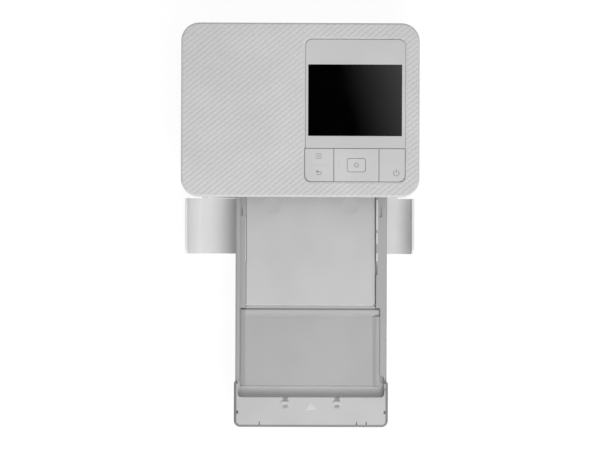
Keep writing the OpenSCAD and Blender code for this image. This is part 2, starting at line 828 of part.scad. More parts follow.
// Dome switches: two for the rocker, four for the pad, one each for the centre and power keys
module dome_switches() {
    menu_mid = menu_x + menu_key_w / 2;
    power_mid = (power_x + panel_right) / 2;
    color([0.75, 0.75, 0.7])
    for (p = [[menu_mid, -nav_reach_y], [menu_mid, nav_reach_y], [nav_mid_x, 0],
            [nav_mid_x - nav_reach_x, 0], [nav_mid_x + nav_reach_x, 0], [nav_mid_x, -nav_reach_y],
            [nav_mid_x, nav_reach_y], [power_mid, 0]])
        translate([p[0], fy(key_mid + p[1]), dome_z])
            cylinder(r = dome_r, h = dome_h);
}

// Main circuit board on its four posts, under the paper path
module main_board() {
    color([0.1, 0.35, 0.2])
    block(-44, 60, 38, 112, plate_z + 3.8, plate_z + 5.2);
}

// Chips, coil and connectors on the main board
module board_chips() {
    z = plate_z + 5.2;
    color([0.15, 0.15, 0.15])
    union() {
        block(-12, 2, 66, 80, z, z + 1.6);
        block(8, 18, 68, 82, z, z + 1.2);
        block(-34, -24, 92, 102, z, z + 3);
        block(32, 50, 44, 49, z, z + 4);
        block(30, 44, 92, 97, z, z + 4);
        for (i = [0:3])
            translate([-34 + 8 * i, fy(48), z])
                cylinder(r = 2.6, h = 5);
    }
}

// Memory-card socket behind its slot, hung on the right side plate
module card_socket() {
    color([0.72, 0.72, 0.74])
    difference() {
        block(right_plate_x - 13, half_w - wall - 0.2, card_in - 0.6, card_in + card_len + 0.6,
            card_z - 0.9, card_z + card_h + 0.9);
        block(right_plate_x - 10, half_w, card_in, card_in + card_len, card_z, card_z + card_h);
    }
}

// Power board in the back left corner
module power_board() {
    z = plate_z + 3;
    color([0.1, 0.35, 0.2])
    union() {
        block(-inlet_left - 7.4, -inlet_left + 25, plate_out + 1, case_d - wall - 1, z, z + 1.4);
        for (x = [-inlet_left - 5.2, -inlet_left + 22.8])
            translate([x, fy(plate_out + 3.2), plate_z])
                cylinder(r = 2, h = 3.1);
        translate([-inlet_left + 9.1, fy(case_d - 8), z + 1.3])
            cylinder(r = 3.2, h = 11);
    }
}

// Power inlet: a square block with a round mouth and a centre pin
module power_inlet() {
    color([0.1, 0.1, 0.1])
    translate([-inlet_left, 0, port_z])
        union() {
            difference() {
                block(-5, 5, case_d - wall - 12, case_d - wall, -6, 5);
                rod_y(0, case_d - wall - 9, case_d, 0, inlet_r);
            }
            rod_y(0, case_d - wall - 9.1, case_d - wall - 1, 0, 0.8);
        }
}

// USB socket: a flat shell with a tongue inside
module usb_socket() {
    color([0.7, 0.7, 0.72])
    translate([-usb_left, 0, port_z])
        union() {
            difference() {
                block(-usb_half - 0.8, usb_half + 0.8, case_d - wall - 8, case_d - wall, -6, 2.2);
                block(-usb_half, usb_half, case_d - wall - 6, case_d, -1.3, 1.3);
            }
            block(-usb_half + 1, usb_half - 1, case_d - wall - 6.1, case_d - wall - 1, -0.35, 0.35);
        }
}

// Sheet steel side plate with bearing holes for every shaft that it carries
module side_plate(x, cartridge_hole) {
    difference() {
        union() {
            block(x, x + plate_t, plate_in, plate_out, plate_z, 41);
            block(x, x + plate_t, 41, plate_out, plate_z, plate_top);
        }
        rod(x - 1, x + plate_t + 1, platen_in, platen_z, 3 + run);
        rod(x - 1, x + plate_t + 1, capstan_in, capstan_z, 2.5 + run);
        rod(x - 1, x + plate_t + 1, capstan_in, pinch_z, 1.5 + run);
        rod(x - 1, x + plate_t + 1, pick_drive_in, pick_drive_z, 2 + run);
        rod(x - 1, x + plate_t + 1, head_pivot_in, head_pivot_z, 2);
        if (cartridge_hole) {
            block(x - 1, x + plate_t + 1, takeup_in, supply_in, spool_z - 4, spool_z + 6);
            rod(x - 1, x + plate_t + 1, takeup_in, spool_z, barrel_r + gap);
            rod(x - 1, x + plate_t + 1, supply_in, spool_z, barrel_r + gap);
        } else {
            rod(x - 1, x + plate_t + 1, takeup_in, spool_z, 2.5 + run);
            rod(x - 1, x + plate_t + 1, supply_in, spool_z, 2.5 + run);
            rod(x - 1, x + plate_t + 1, idler_in, idler_z, 2);
        }
    }
}

module left_side_plate() {
    color([0.66, 0.67, 0.69])
    side_plate(left_plate_x - plate_t, false);
}

module right_side_plate() {
    color([0.66, 0.67, 0.69])
    side_plate(right_plate_x, true);
}

// Two runners under the cassette's edges, fixed to the side plates
module cassette_guides() {
    color([0.3, 0.3, 0.32])
    for (s = [0, 1]) {
        outer = s == 0 ? left_plate_x : right_plate_x;
        edge = s == 0 ? tray_left : tray_right;
        side = s == 0 ? 1 : -1;
        block(min(outer, edge + side * 5), max(outer, edge + side * 5), 6, 34,
            cassette_z - 2, cassette_z - gap / 2);
        block(min(outer, edge - side * gap), max(outer, edge - side * gap), 6, 34,
            cassette_z - 1, cassette_z + 8);
    }
}

// Steel core of the platen, turning in both side plates
module platen_shaft() {
    color([0.75, 0.75, 0.77])
    rod(shaft_left, right_plate_x + plate_t + 2, platen_in, platen_z, 3);
}

// Rubber sleeve of the platen
module platen_rubber() {
    color([0.1, 0.1, 0.1])
    difference() {
        rod(left_plate_x + 3, right_plate_x - 3, platen_in, platen_z, platen_r);
        rod(left_plate_x, right_plate_x, platen_in, platen_z, 3);
    }
}

module platen_gear() {
    color([0.9, 0.9, 0.86])
    spur(gear_x, gear_x + gear_w, platen_in, platen_z, platen_teeth, platen_angle, 3);
}

// Steel transport roller with thinner journals and two roughened bands
module capstan_shaft() {
    color([0.75, 0.75, 0.77])
    union() {
        rod(shaft_left, right_plate_x + plate_t + 2, capstan_in, capstan_z, 2.5);
        rod(left_plate_x + 2, right_plate_x - 2, capstan_in, capstan_z, capstan_r);
    }
}

module capstan_gear() {
    color([0.9, 0.9, 0.86])
    spur(gear_x, gear_x + gear_w, capstan_in, capstan_z, capstan_teeth, capstan_angle, 2.5);
}

// Pinch roller pressed on the paper above the transport roller
module pinch_roller() {
    color([0.25, 0.25, 0.25])
    union() {
        rod(left_plate_x - plate_t - 0.2, right_plate_x + plate_t + 1, capstan_in, pinch_z, 1.5);
        for (s = [-1, 1])
            rod(cassette_x + s * 30 - 14, cassette_x + s * 30 + 14, capstan_in, pinch_z, pinch_r);
    }
}

module idler_gear() {
    color([0.9, 0.9, 0.86])
    spur(gear_x, gear_x + gear_w, idler_in, idler_z, idler_teeth, idler_angle, 2 + run);
}

// Stud riveted in the left side plate, on which the idler turns
module idler_stud() {
    color([0.75, 0.75, 0.77])
    rod(gear_x - 0.6, left_plate_x, idler_in, idler_z, 2);
}

// Stepper motor: can, mounting ears and a short boss
module stepper_motor() {
    x = gear_x - 4;
    color([0.6, 0.6, 0.62])
    difference() {
        union() {
            rod(x - 16, x, motor_in, motor_z, motor_r);
            rod(x, x + 1.2, motor_in, motor_z, 3.6);
        }
        rod(x - 3, x + 2, motor_in, motor_z, 1 + run);
    }
}

// Bracket that holds the motor on the floor
module motor_bracket() {
    x = gear_x - 4;
    color([0.66, 0.67, 0.69])
    difference() {
        union() {
            block(x, x + 1.2, motor_in - 13, motor_in + 13, plate_z, motor_z + 6);
            block(x - 10, x + 1.2, motor_in + 10.2, motor_in + 16, plate_z, plate_z + 1.2);
            block(x, x + 1.2, motor_in + 12, motor_in + 16, plate_z, plate_z + 8);
        }
        rod(x - 1, x + 3, motor_in, motor_z, 3.6);
    }
}

// Motor shaft with its pinion
module motor_pinion() {
    x = gear_x - 4;
    color([0.8, 0.7, 0.4])
    union() {
        spur(gear_x, gear_x + gear_w, motor_in, motor_z, pinion_teeth, pinion_angle, 0.9);
        rod(x - 2.8, gear_x + gear_w, motor_in, motor_z, 1);
    }
}

// Shaft that drives the pick-up rollers and carries their arm
module pickup_drive_shaft() {
    color([0.75, 0.75, 0.77])
    rod(shaft_left, right_plate_x + plate_t + 1, pick_drive_in, pick_drive_z, 2);
}

module pickup_drive_gear() {
    color([0.9, 0.9, 0.86])
    spur(gear_x, gear_x + gear_w, pick_drive_in, pick_drive_z, pick_teeth, pick_angle, 2);
}

// Swinging arm: two cheeks with a bridge over the belt
module pickup_arm() {
    tilt = atan2(pick_z - pick_drive_z, pick_drive_in - pick_in);
    reach = sqrt(pow(pick_z - pick_drive_z, 2) + pow(pick_drive_in - pick_in, 2));
    color([0.3, 0.3, 0.32])
    translate([cassette_x, fy(pick_drive_in), pick_drive_z])
        rotate([-tilt, 0, 0])
            difference() {
                union() {
                    for (x = [-12, 10.5]) {
                        translate([x, -reach, -2.2])
                            cube([1.5, reach, 4.4]);
                        translate([x, 0, 0])
                            rotate([0, 90, 0])
                                cylinder(r = 3.2, h = 1.5);
                        translate([x, -reach, 0])
                            rotate([0, 90, 0])
                                cylinder(r = 2.8, h = 1.5);
                    }
                    translate([-12, -reach + 5, 3.4])
                        cube([24, reach - 9, 1.2]);
                    for (x = [-12, 10.5])
                        translate([x, -reach + 5, 2])
                            cube([1.5, reach - 9, 2]);
                }
                translate([-20, 0, 0])
                    rotate([0, 90, 0])
                        cylinder(r = 2 + run, h = 40);
                translate([-20, -reach, 0])
                    rotate([0, 90, 0])
                        cylinder(r = 1.5 + run, h = 40);
            }
}

// Shaft of the two pick-up rollers, with the belt's pulley
module pickup_roller_shaft() {
    color([0.75, 0.75, 0.77])
    union() {
        rod(cassette_x - pick_x - pick_w / 2 - 1, cassette_x + pick_x + pick_w / 2 + 1, pick_in, pick_z, 1.5);
        rod(cassette_x - 1.6, cassette_x + 1.6, pick_in, pick_z, 2);
    }
}

// Rubber tyres of the pick-up rollers
module pickup_tyres() {
    color([0.12, 0.12, 0.12])
    for (s = [-1, 1])
        difference() {
            rod(cassette_x + s * pick_x - pick_w / 2, cassette_x + s * pick_x + pick_w / 2, pick_in, pick_z,
                pick_r);
            rod(cassette_x + s * pick_x - pick_w, cassette_x + s * pick_x + pick_w, pick_in, pick_z, 1.5);
        }
}

// Belt from the drive shaft to the roller shaft
module pickup_belt() {
    tilt = atan2(pick_z - pick_drive_z, pick_drive_in - pick_in);
    reach = sqrt(pow(pick_z - pick_drive_z, 2) + pow(pick_drive_in - pick_in, 2));
    color([0.1, 0.1, 0.1])
    translate([cassette_x - 1.4, fy(pick_drive_in), pick_drive_z])
        rotate([-tilt, 0, 0])
            rotate([90, 0, 90])
                linear_extrude(height = 2.8)
                    difference() {
                        belt_outline(reach, 2.7);
                        belt_outline(reach, 2 + run);
                    }
}

// Flat loop round two equal pulleys, the second one a reach further forward
module belt_outline(reach, r) {
    circle(r = r);
    translate([-reach, 0])
        circle(r = r);
    translate([-reach, -r])
        square([reach, 2 * r]);
}

// Fixed shaft on which the print head swings
module head_pivot_shaft() {
    color([0.75, 0.75, 0.77])
    rod(left_plate_x - plate_t, right_plate_x + plate_t, head_pivot_in, head_pivot_z, 2);
}

// Sheet steel frame of the print head, swinging on ears at the back
module head_frame() {
    color([0.66, 0.67, 0.69])
    difference() {
        union() {
            block(head_left, head_right, 66, head_pivot_in + 3, head_sheet_z, head_sheet_z + 1.1);
            for (x = [head_left, head_right - 1.5]) {
                block(x, x + 1.5, head_pivot_in - 3.6, head_pivot_in + 3, head_pivot_z, head_sheet_z + 0.1);
                rod(x, x + 1.5, head_pivot_in, head_pivot_z, 3.4);
            }
        }
        for (x = [head_left, head_right - 1.5])
            rod(x - 1, x + 2.5, head_pivot_in, head_pivot_z, 2 + run);
        for (x = [-24, 14])
            block(x, x + 26, 88, 106, head_sheet_z - 1, head_sheet_z + 2);
    }
}

// Finned aluminium heat sink above the thermal bar
module head_heat_sink() {
    x0 = head_left + 1.8;
    x1 = head_right - 1.8;
    color([0.8, 0.8, 0.82])
    union() {
        block(x0, x1, platen_in - 5, platen_in - 1, path_z + 2.4, head_sheet_z);
        block(x0, x1, platen_in - 5, platen_in + 6, path_z + 2.4, path_z + 5.4);
        for (i = [0:3])
            block(x0 + 2, x1 - 2, platen_in - 1.1, platen_in + 6,
                path_z + 7.4 + 2.6 * i, path_z + 8.4 + 2.6 * i);
    }
}

// Ceramic bar with its glaze line just above the platen
module thermal_bar() {
    color([0.9, 0.88, 0.8])
    union() {
        block(head_left + 1.8, head_right - 1.8, platen_in - 4, platen_in + 5, path_z + 1, path_z + 2.4);
        block(head_left + 2.8, head_right - 2.8, platen_in - 1, platen_in + 1, path_z + 0.6, path_z + 1.1);
    }
}

// Ribbon cartridge: two slotted barrels joined by an end bridge at each side, with a grip
module ribbon_cartridge() {
    color([0.25, 0.25, 0.27])
    difference() {
        union() {
            for (d = [takeup_in, supply_in])
                rod(cartridge_left, cartridge_right, d, spool_z, barrel_r);
            block(cartridge_left, cartridge_left + 2, takeup_in, supply_in, spool_z - 3, spool_z + 4);
            block(cartridge_right - 2, cartridge_right, takeup_in, supply_in, spool_z - 3, spool_z + 4);
            block(cartridge_right - 0.1, cartridge_right + 6, platen_in - 9, platen_in + 9,
                spool_z - 0.8, spool_z + 0.8);
        }
        for (d = [takeup_in, supply_in]) {
            rod(cartridge_left + 1.5, cartridge_right - 1.5, d, spool_z, barrel_r - barrel_t);
            rod(cartridge_left - 1, cartridge_right - 1, d, spool_z, 3.6);
        }
        block(cartridge_left + 5, cartridge_right - 5, takeup_in + 1, takeup_in + barrel_r + 1,
            spool_z - barrel_r - 1, spool_z - 3.5);
        block(cartridge_left + 5, cartridge_right - 5, supply_in - barrel_r - 1, supply_in - 1,
            spool_z - barrel_r - 1, spool_z - 3.5);
    }
}

// Ribbon spool: a tube with the wound film on it
module spool(d, film_r) {
    difference() {
        union() {
            rod(cartridge_left - 0.6, cartridge_right - 1.8, d, spool_z, 3.5);
            rod(head_left - 1, head_right + 1, d, spool_z, film_r);
        }
        rod(cartridge_left - 1, cartridge_left + 14, d, spool_z, 2.5 + run);
    }
}

module ribbon_supply_spool() {
    color([0.5, 0.35, 0.2])
    spool(supply_in, supply_film_r);
}

module ribbon_takeup_spool() {
    color([0.2, 0.3, 0.45])
    spool(takeup_in, takeup_film_r);
}

// Gear on a short spindle that turns the take-up spool
module takeup_spindle() {
    color([0.9, 0.9, 0.86])
    union() {
        spur(gear_x, gear_x + gear_w, takeup_in, spool_z, takeup_teeth, takeup_angle, 1);
        rod(gear_x, cartridge_left + 12, takeup_in, spool_z, 2.5);
    }
}

// Braked spindle that the supply spool sits on
module supply_spindle() {
    color([0.9, 0.9, 0.86])
    union() {
        rod(left_plate_x - 4, cartridge_left + 12, supply_in, spool_z, 2.5);
        rod(left_plate_x - 4, left_plate_x - plate_t - 0.1, supply_in, spool_z, 5.5);
    }
}

// Film between the spools, led flat under the head
module ribbon_film() {
    under = path_z + 0.3;
    t = 0.1;
    color([0.3, 0.25, 0.1])
    translate([head_left, 0, 0])
        rotate([90, 0, 90])
            linear_extrude(height = head_right - head_left)
                polygon([
                    [fy(takeup_in + 2), spool_z - takeup_film_r - 0.1], [fy(platen_in - 6), under],
                    [fy(platen_in + 6), under], [fy(supply_in - 2), spool_z - supply_film_r - 0.1],
                    [fy(supply_in - 2), spool_z - supply_film_r - 0.1 + t], [fy(platen_in + 6), under + t],
                    [fy(platen_in - 6), under + t], [fy(takeup_in + 2), spool_z - takeup_film_r - 0.1 + t]]);
}

// Cassette base: floor, side rails, low inner end, scooped handle block at the outer end
module cassette_tray() {
    well_out = scoop_in + 2;
    color([0.70, 0.70, 0.70])
    difference() {
        union() {
            rail_body();
            handle_block(0, handle_z - handle_drop);
            handle_block(handle_step, handle_z);
            for (s = [-1, 1])
                stacking_nub(cassette_x + s * nub_x);
        }
        paper_well(well_out);
        block(cover_left - 0.1, tray_right - rail_right_w, scoop_in, cassette_in + 1,
            cover_leaf_z - 0.2, rail_z + 1);
        block(tray_left + rail_wall_w, cover_left, cheek_in, cassette_in + 1, shelf_z, rail_z + 1);
        scoop_cut();
        far_cover_seat();
        for (s = [-1, 1])
            block(cassette_x + s * 55.4 - 2.2, cassette_x + s * 55.4 + 2.2, handle_in + 2, cassette_in - 3,
                cassette_z - 1, rail_z - 4.6);
        block(cassette_x - handle_w / 2 + 2, cassette_x + handle_w / 2 - 2, -cassette_out + 2.2,
            handle_in - 2, cassette_z - 1, handle_z - 2);
        leaf_pin_holes();
        rail_details();
        handle_details();
    }
}

// Space for the paper, except for a lip over its right edge and a bar between the covers
module paper_well(well_out) {
    difference() {
        union() {
            block(cassette_x - paper_w / 2 - 0.5, cassette_x + paper_w / 2 + 0.5, well_out,
                cassette_in - tray_t, cassette_z + tray_t, rail_z + 1);
            block(cassette_x - paper_w / 2 - 0.5, cassette_x + paper_w / 2 + 0.5, 0, cassette_in + 1,
                cassette_z + 9, rail_z + 1);
        }
        block(cover_right - 0.8, tray_right, -seam_out + 6, 0, cover_leaf_z - 1.4, cover_leaf_z - 0.2);
        block(cassette_x - paper_w, cassette_x + paper_w, -seam_out - 0.7, -seam_out + 0.7,
            cover_leaf_z - 1.4, leaf_axis_z + 0.2);
    }
}

// Handle block with its two cheeks beside the scoop, set in from its outer sides
module handle_block(inset, top) {
    x0 = cassette_x - handle_w / 2 + inset;
    x1 = cassette_x + handle_w / 2 - inset;
    round_block(x0, x1, -cassette_out + inset, handle_in, cassette_z, top, handle_r - inset);
    block(x0, x1, handle_in - handle_r, cheek_in, cassette_z, top);
}

// Long body of the tray, with round outer shoulders on its rails
module rail_body() {
    translate([0, fy(cassette_in), 0])
        rotate([90, 0, 0])
            linear_extrude(height = cassette_in - handle_in)
                union() {
                    translate([tray_left, cassette_z])
                        square([cassette_w, rail_z - rail_r - cassette_z]);
                    translate([tray_left + rail_r, cassette_z])
                        square([cassette_w - 2 * rail_r, rail_z - cassette_z]);
                    for (x = [tray_left + rail_r, tray_right - rail_r])
                        translate([x, rail_z - rail_r])
                            circle(r = rail_r);
                }
}

// Small hook on the handle block that stops the prints sliding off
module stacking_nub(x) {
    translate([x - nub_w / 2, fy(handle_in), handle_z])
        rotate([90, 0, 90])
            linear_extrude(height = nub_w)
                polygon([[-3, -0.3], [-3.3, 0.5], [-4.6, 0.6], [-nub_len, 0], [-nub_len, -0.3]]);
}

// Sloping dips before and behind the hooks, small ticks at the outer edge and side notches
module handle_details() {
    for (s = [-1, 1])
        translate([cassette_x + s * nub_x - nub_w / 2, fy(handle_in), handle_z])
            rotate([90, 0, 90])
                linear_extrude(height = nub_w) {
                    polygon([[0.1, 0.1], [0.1, -2.2], [-3, 0], [-3, 0.1]]);
                    translate([-nub_len, 0])
                        polygon([[0, 0.1], [0, -1.4], [-0.8, -1.4], [-3.2, 0], [-3.2, 0.1]]);
                }
    for (x = [-40, 35.4, 42.9])
        block(cassette_x + x - 0.4, cassette_x + x + 0.4, -cassette_out + handle_step - 0.1,
            -cassette_out + 4.6, handle_z - 0.7, handle_z + 1);
    for (p = [[-1, handle_in - 11.4], [1, handle_in - 11.4], [1, cheek_in - 4.2]])
        translate([cassette_x + p[0] * (handle_w / 2 - 2.6), 0, 0])
            block(-0.9, 0.9, p[1] - 1.2, p[1] + 1.2, handle_z - 1, handle_z + 1);
}

// Round hollow that the prints' leading edge slides down to, in front of the handle block
module scoop_cut() {
    depth = handle_z - cover_face_z;
    arc_r = scoop_len - 0.4;
    span = sqrt(pow(arc_r, 2) - pow(arc_r - depth, 2));
    x0 = cassette_x - handle_w / 2 + cheek_t;
    x1 = cassette_x + handle_w / 2 - cheek_t;
    difference() {
        round_block(x0, x1, handle_in, cheek_in + 6, cover_face_z, handle_z + 1, 3);
        difference() {
            block(x0 - 1, x1 + 1, handle_in - 1, handle_in + span, cover_face_z - 1, handle_z + 2);
            rod(x0 - 2, x1 + 2, handle_in + span, cover_face_z + arc_r, arc_r);
        }
    }
}

// Seat of the far cover, which lies over the shelf and part of the right rail up to the seam
module far_cover_seat() {
    block(far_left, far_right, scoop_in, -seam_out - 0.2, cover_leaf_z - 0.2, rail_z + 1);
}

// Bores for the stub pins of both covers
module leaf_pin_holes() {
    rod(far_left - 0.9, far_right + 0.9, -seam_out - 2.4, leaf_axis_z, leaf_pin_r + run);
    rod(far_left, far_right, -seam_out - 2.4, leaf_axis_z, leaf_hinge_r + gap);
    rod(cover_left - 2.1, tray_right - rail_right_w + 2.1, -seam_out + 2.4, leaf_axis_z, leaf_pin_r + run);
    rod(cover_left - 0.1, tray_right - rail_right_w, -seam_out + 2.4, leaf_axis_z, leaf_hinge_r + gap);
}

// Slots and steps in the upper faces of the rails
module rail_details() {
    block(tray_left + 4.4, tray_left + 5.3, -14.1, -7.8, shelf_z - 1.4, rail_z + 1);
    block(tray_right - 5.9, tray_right - 4.2, -15, -6.5, rail_z - 1, rail_z + 1);
    block(tray_right - rail_right_w - 0.1, tray_right - rail_right_w + 1.2, -60, -52.4,
        rail_z - 2.4, rail_z + 1);
}

// Cover plate over the paper at the inner end, with slots for the pick-up rollers and belt
module cassette_near_cover() {
    color([0.73, 0.73, 0.73])
    difference() {
        union() {
            block(cover_left + gap, cover_right, -seam_out + 2.4, cassette_in,
                cover_leaf_z, cover_face_z);
            rod(cover_left - 2, tray_right - rail_right_w + 2, -seam_out + 2.4, leaf_axis_z, leaf_pin_r);
            rod(cover_left + gap, cover_right, -seam_out + 2.4, leaf_axis_z, leaf_hinge_r);
        }
        for (s = [-1, 1])
            block(cassette_x + s * pick_x - slot_w / 2, cassette_x + s * pick_x + slot_w / 2,
                -slot_out, cassette_in + 1, cover_leaf_z - 1, cover_face_z + 1);
        block(cassette_x - 3.2, cassette_x + 3.2, -slot_out, cassette_in + 1,
            cover_leaf_z - 1, cover_face_z + 1);
        for (s = [-1, 1])
            translate([cassette_x + s * 30.5, fy(-6.5), cover_face_z + 54.6])
                sphere(r = 55, $fn = 96);
    }
}

// Cover plate of the outer half, hinged at the seam
module cassette_far_cover() {
    color([0.69, 0.69, 0.69])
    difference() {
        union() {
            block(far_left + gap, far_right - gap, scoop_in + gap, -seam_out - 2.4,
                cover_leaf_z, cover_face_z);
            rod(far_left - 0.8, far_right + 0.8, -seam_out - 2.4, leaf_axis_z, leaf_pin_r);
            rod(far_left + gap, far_right - gap, -seam_out - 2.4, leaf_axis_z, leaf_hinge_r);
        }
        block(far_left + 2, far_right - 2, -seam_out - 8.4, -seam_out - 5.2,
            cover_face_z - 0.3, cover_face_z + 1);
    }
}

// Light strips on the rails: sprung tabs that click into the printer and steady the cover
module cassette_lock_tabs() {
    x = tray_right - rail_right_w + 0.1;
    color([0.78, 0.78, 0.78])
    union() {
        for (span = [[-25, -1.2], [-35.7, -27.4], [-49.4, -43.1]])
            block(x, x + 1.4, span[0], span[1], rail_z, rail_z + 0.5);
        block(cover_left - 0.8, cover_left - 0.2, -49.8, -15.1, shelf_z, shelf_z + 0.5);
    }
}

// Four rubber feet let into the floor
module rubber_feet() {
    color([0.2, 0.2, 0.2])
    for (x = [-half_w + foot_side, half_w - foot_side])
        for (d = [foot_end, case_d - foot_end])
            translate([x, fy(d), 0])
                cylinder(r = foot_r, h = foot_h + 0.6);
}

// Screws that hold the lid's posts to the housing, heads up inside the floor
module case_screws() {
    color([0.4, 0.4, 0.42])
    for (x = screw_places_x)
        for (d = screw_places_d)
            translate([x, fy(d), foot_h]) {
                translate([0, 0, 1.2])
                    cylinder(r = screw_r, h = 16);
                difference() {
                    cylinder(r = 2.8, h = 1.2);
                    translate([-1.6, -0.4, -1])
                        cube([3.2, 0.8, 1.6]);
                    translate([-0.4, -1.6, -1])
                        cube([0.8, 3.2, 1.6]);
                }
            }
}

bottom_case();
top_cover();
front_frame();
front_door();
door_hinge_pins();
ribbon_door();
ribbon_door_pin();
display_bezel();
display_window();
display_module();
menu_back_key();
nav_tilt_plate();
nav_pad();
ok_button();
power_key();
key_board();
dome_switches();
main_board();
board_chips();
card_socket();
power_board();
power_inlet();
usb_socket();
left_side_plate();
right_side_plate();
cassette_guides();
platen_shaft();
platen_rubber();
platen_gear();
capstan_shaft();
capstan_gear();
pinch_roller();
idler_gear();
idler_stud();
stepper_motor();
motor_bracket();
motor_pinion();
pickup_drive_shaft();
pickup_drive_gear();
pickup_arm();
pickup_roller_shaft();
pickup_tyres();
pickup_belt();
head_pivot_shaft();
head_frame();
head_heat_sink();
thermal_bar();
ribbon_cartridge();
ribbon_supply_spool();
ribbon_takeup_spool();
takeup_spindle();
supply_spindle();
ribbon_film();
cassette_tray();
cassette_near_cover();
cassette_far_cover();
cassette_lock_tabs();
rubber_feet();
case_screws();
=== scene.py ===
"""Looks of a compact photo printer standing ready to print, its paper cassette pushed in."""

import math

import bpy
import numpy as np
from mathutils import Euler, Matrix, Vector


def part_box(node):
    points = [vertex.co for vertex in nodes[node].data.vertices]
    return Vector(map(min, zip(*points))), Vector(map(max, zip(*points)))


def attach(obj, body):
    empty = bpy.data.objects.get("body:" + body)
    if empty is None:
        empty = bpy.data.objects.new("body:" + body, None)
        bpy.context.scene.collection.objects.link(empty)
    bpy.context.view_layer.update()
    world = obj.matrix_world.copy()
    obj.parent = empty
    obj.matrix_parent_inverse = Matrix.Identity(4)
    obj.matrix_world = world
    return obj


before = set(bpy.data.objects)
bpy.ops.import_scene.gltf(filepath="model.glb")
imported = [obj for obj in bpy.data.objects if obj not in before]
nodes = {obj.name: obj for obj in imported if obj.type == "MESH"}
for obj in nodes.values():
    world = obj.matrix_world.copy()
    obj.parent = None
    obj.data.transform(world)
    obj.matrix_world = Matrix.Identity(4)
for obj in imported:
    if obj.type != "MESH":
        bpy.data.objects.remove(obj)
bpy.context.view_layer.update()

# ---------------------------------------------------------------------------------------
# Bottom case, front frame and ribbon door: the printer's grey-white housing.
# Injection-moulded ABS, coloured right through. The mould is spark-eroded, so every outer
# face carries a fine matt grain, and the edges are slightly rounded.
# ---------------------------------------------------------------------------------------
MM = 0.001


def grey(level):
    """A neutral colour."""
    return (level, level, level)


class Wire:
    """One output socket of a node. Sums and products of wires and numbers add Math nodes."""

    def __init__(self, owner, socket):
        self.owner = owner
        self.socket = socket

    def __add__(self, other):
        return self.owner.maths("ADD", self, other)

    def __sub__(self, other):
        return self.owner.maths("SUBTRACT", self, other)

    def __rsub__(self, other):
        return self.owner.maths("SUBTRACT", other, self)

    def __mul__(self, other):
        return self.owner.maths("MULTIPLY", self, other)

    def __pow__(self, power):
        return self.owner.maths("POWER", self, power)

    __radd__ = __add__
    __rmul__ = __mul__

    def sine(self):
        return self.owner.maths("SINE", self)

    def ramp(self, start, end, low=0.0, high=1.0):
        """low before start, high after end, smooth between them."""
        return self.owner.node("ShaderNodeMapRange",
            {"interpolation_type": "SMOOTHSTEP", "clamp": True}, self, start, end, low, high)

    def past(self, place, blend):
        """0 before a place and 1 after it, smooth over blend on both sides of it."""
        return self.ramp(place - blend, place + blend)


class NodeTree:
    """The node tree of a material or a world, emptied, with its output node."""

    def __init__(self, holder, output_kind):
        holder.use_nodes = True
        self.tree = holder.node_tree
        self.tree.nodes.clear()
        self.output = self.tree.nodes.new(output_kind)

    def node(self, kind, settings=None, *values, out=0, **named):
        """Adds a node: its settings first, then its sockets, by position or by name."""
        made = self.tree.nodes.new(kind)
        for setting, value in (settings or {}).items():
            setattr(made, setting, value)
        self.fill(made, *values, **named)
        return Wire(self, made.outputs[out])

    def fill(self, made, *values, **named):
        """Links or sets a node's sockets; in a name, _ stands for a space."""
        for socket, value in [*enumerate(values), *named.items()]:
            if isinstance(socket, str):
                socket = socket.replace("_", " ")
            self.plug(made.inputs[socket], value)

    def plug(self, socket, value):
        if isinstance(value, Wire):
            self.tree.links.new(value.socket, socket)
        else:
            socket.default_value = value

    def maths(self, operation, *values):
        """A Math node on wires and numbers."""
        return self.node("ShaderNodeMath", {"operation": operation}, *values)

    def split(self, vector):
        """A vector's X, Y and Z as three wires."""
        parts = self.node("ShaderNodeSeparateXYZ", None, vector).socket.node
        return [Wire(self, parts.outputs[i]) for i in range(3)]

    def show(self, surface):
        """Links a shader to the output."""
        self.fill(self.output, Surface=surface)


class Finish(NodeTree):
    """A procedural material round one Principled shader."""

    def __init__(self, name, colour, roughness=0.5, metallic=0.0, specular=0.5):
        self.material = bpy.data.materials.new(name)
        super().__init__(self.material, "ShaderNodeOutputMaterial")
        self.shader = self.node("ShaderNodeBsdfPrincipled", Base_Color=(*colour, 1),
            Roughness=roughness, Metallic=metallic, Specular_IOR_Level=specular)
        self.show(self.shader)

    def feed(self, **sockets):
        """Links wires to the shader's sockets, such as Base_Color or Roughness."""
        self.fill(self.shader.socket.node, **sockets)

    def place(self):
        """The point on the piece, in the frame's metres."""
        return self.node("ShaderNodeTexCoord", out="Object")

    def axes(self):
        """The point's X, Y and Z as three wires."""
        return self.split(self.place())

    def noise(self, size_mm, detail=2.0, roughness=0.5, stretch=None):
        """Soft noise whose lumps measure about size_mm; stretch scales X, Y and Z first."""
        point = self.place()
        if stretch:
            point = self.node("ShaderNodeVectorMath", {"operation": "MULTIPLY"}, point, stretch)
        return self.node("ShaderNodeTexNoise", {"noise_dimensions": "3D"}, Vector=point,
            Scale=1 / (size_mm * MM), Detail=detail, Roughness=roughness)

    def tint(self, colour, other, amount):
        """Colour that goes from the first to the second as amount goes from 0 to 1."""
        mixed = self.node("ShaderNodeMix", {"data_type": "RGBA"}, amount, out=2)
        for socket, shade in zip(mixed.socket.node.inputs[6:8], (colour, other)):
            self.plug(socket, shade if isinstance(shade, Wire) else (*shade, 1))
        return mixed

    def relief(self, height, depth_mm, edge_mm=0.0):
        """Bump whose height wire, from 0 to 1, stands for depth_mm. Edges are softened by
        edge_mm."""
        sockets = {"Height": height, "Distance": depth_mm * MM, "Strength": 1.0}
        if edge_mm:
            sockets["Normal"] = self.node("ShaderNodeBevel", {"samples": 6}, edge_mm * MM)
        self.feed(Normal=self.node("ShaderNodeBump", None, **sockets))


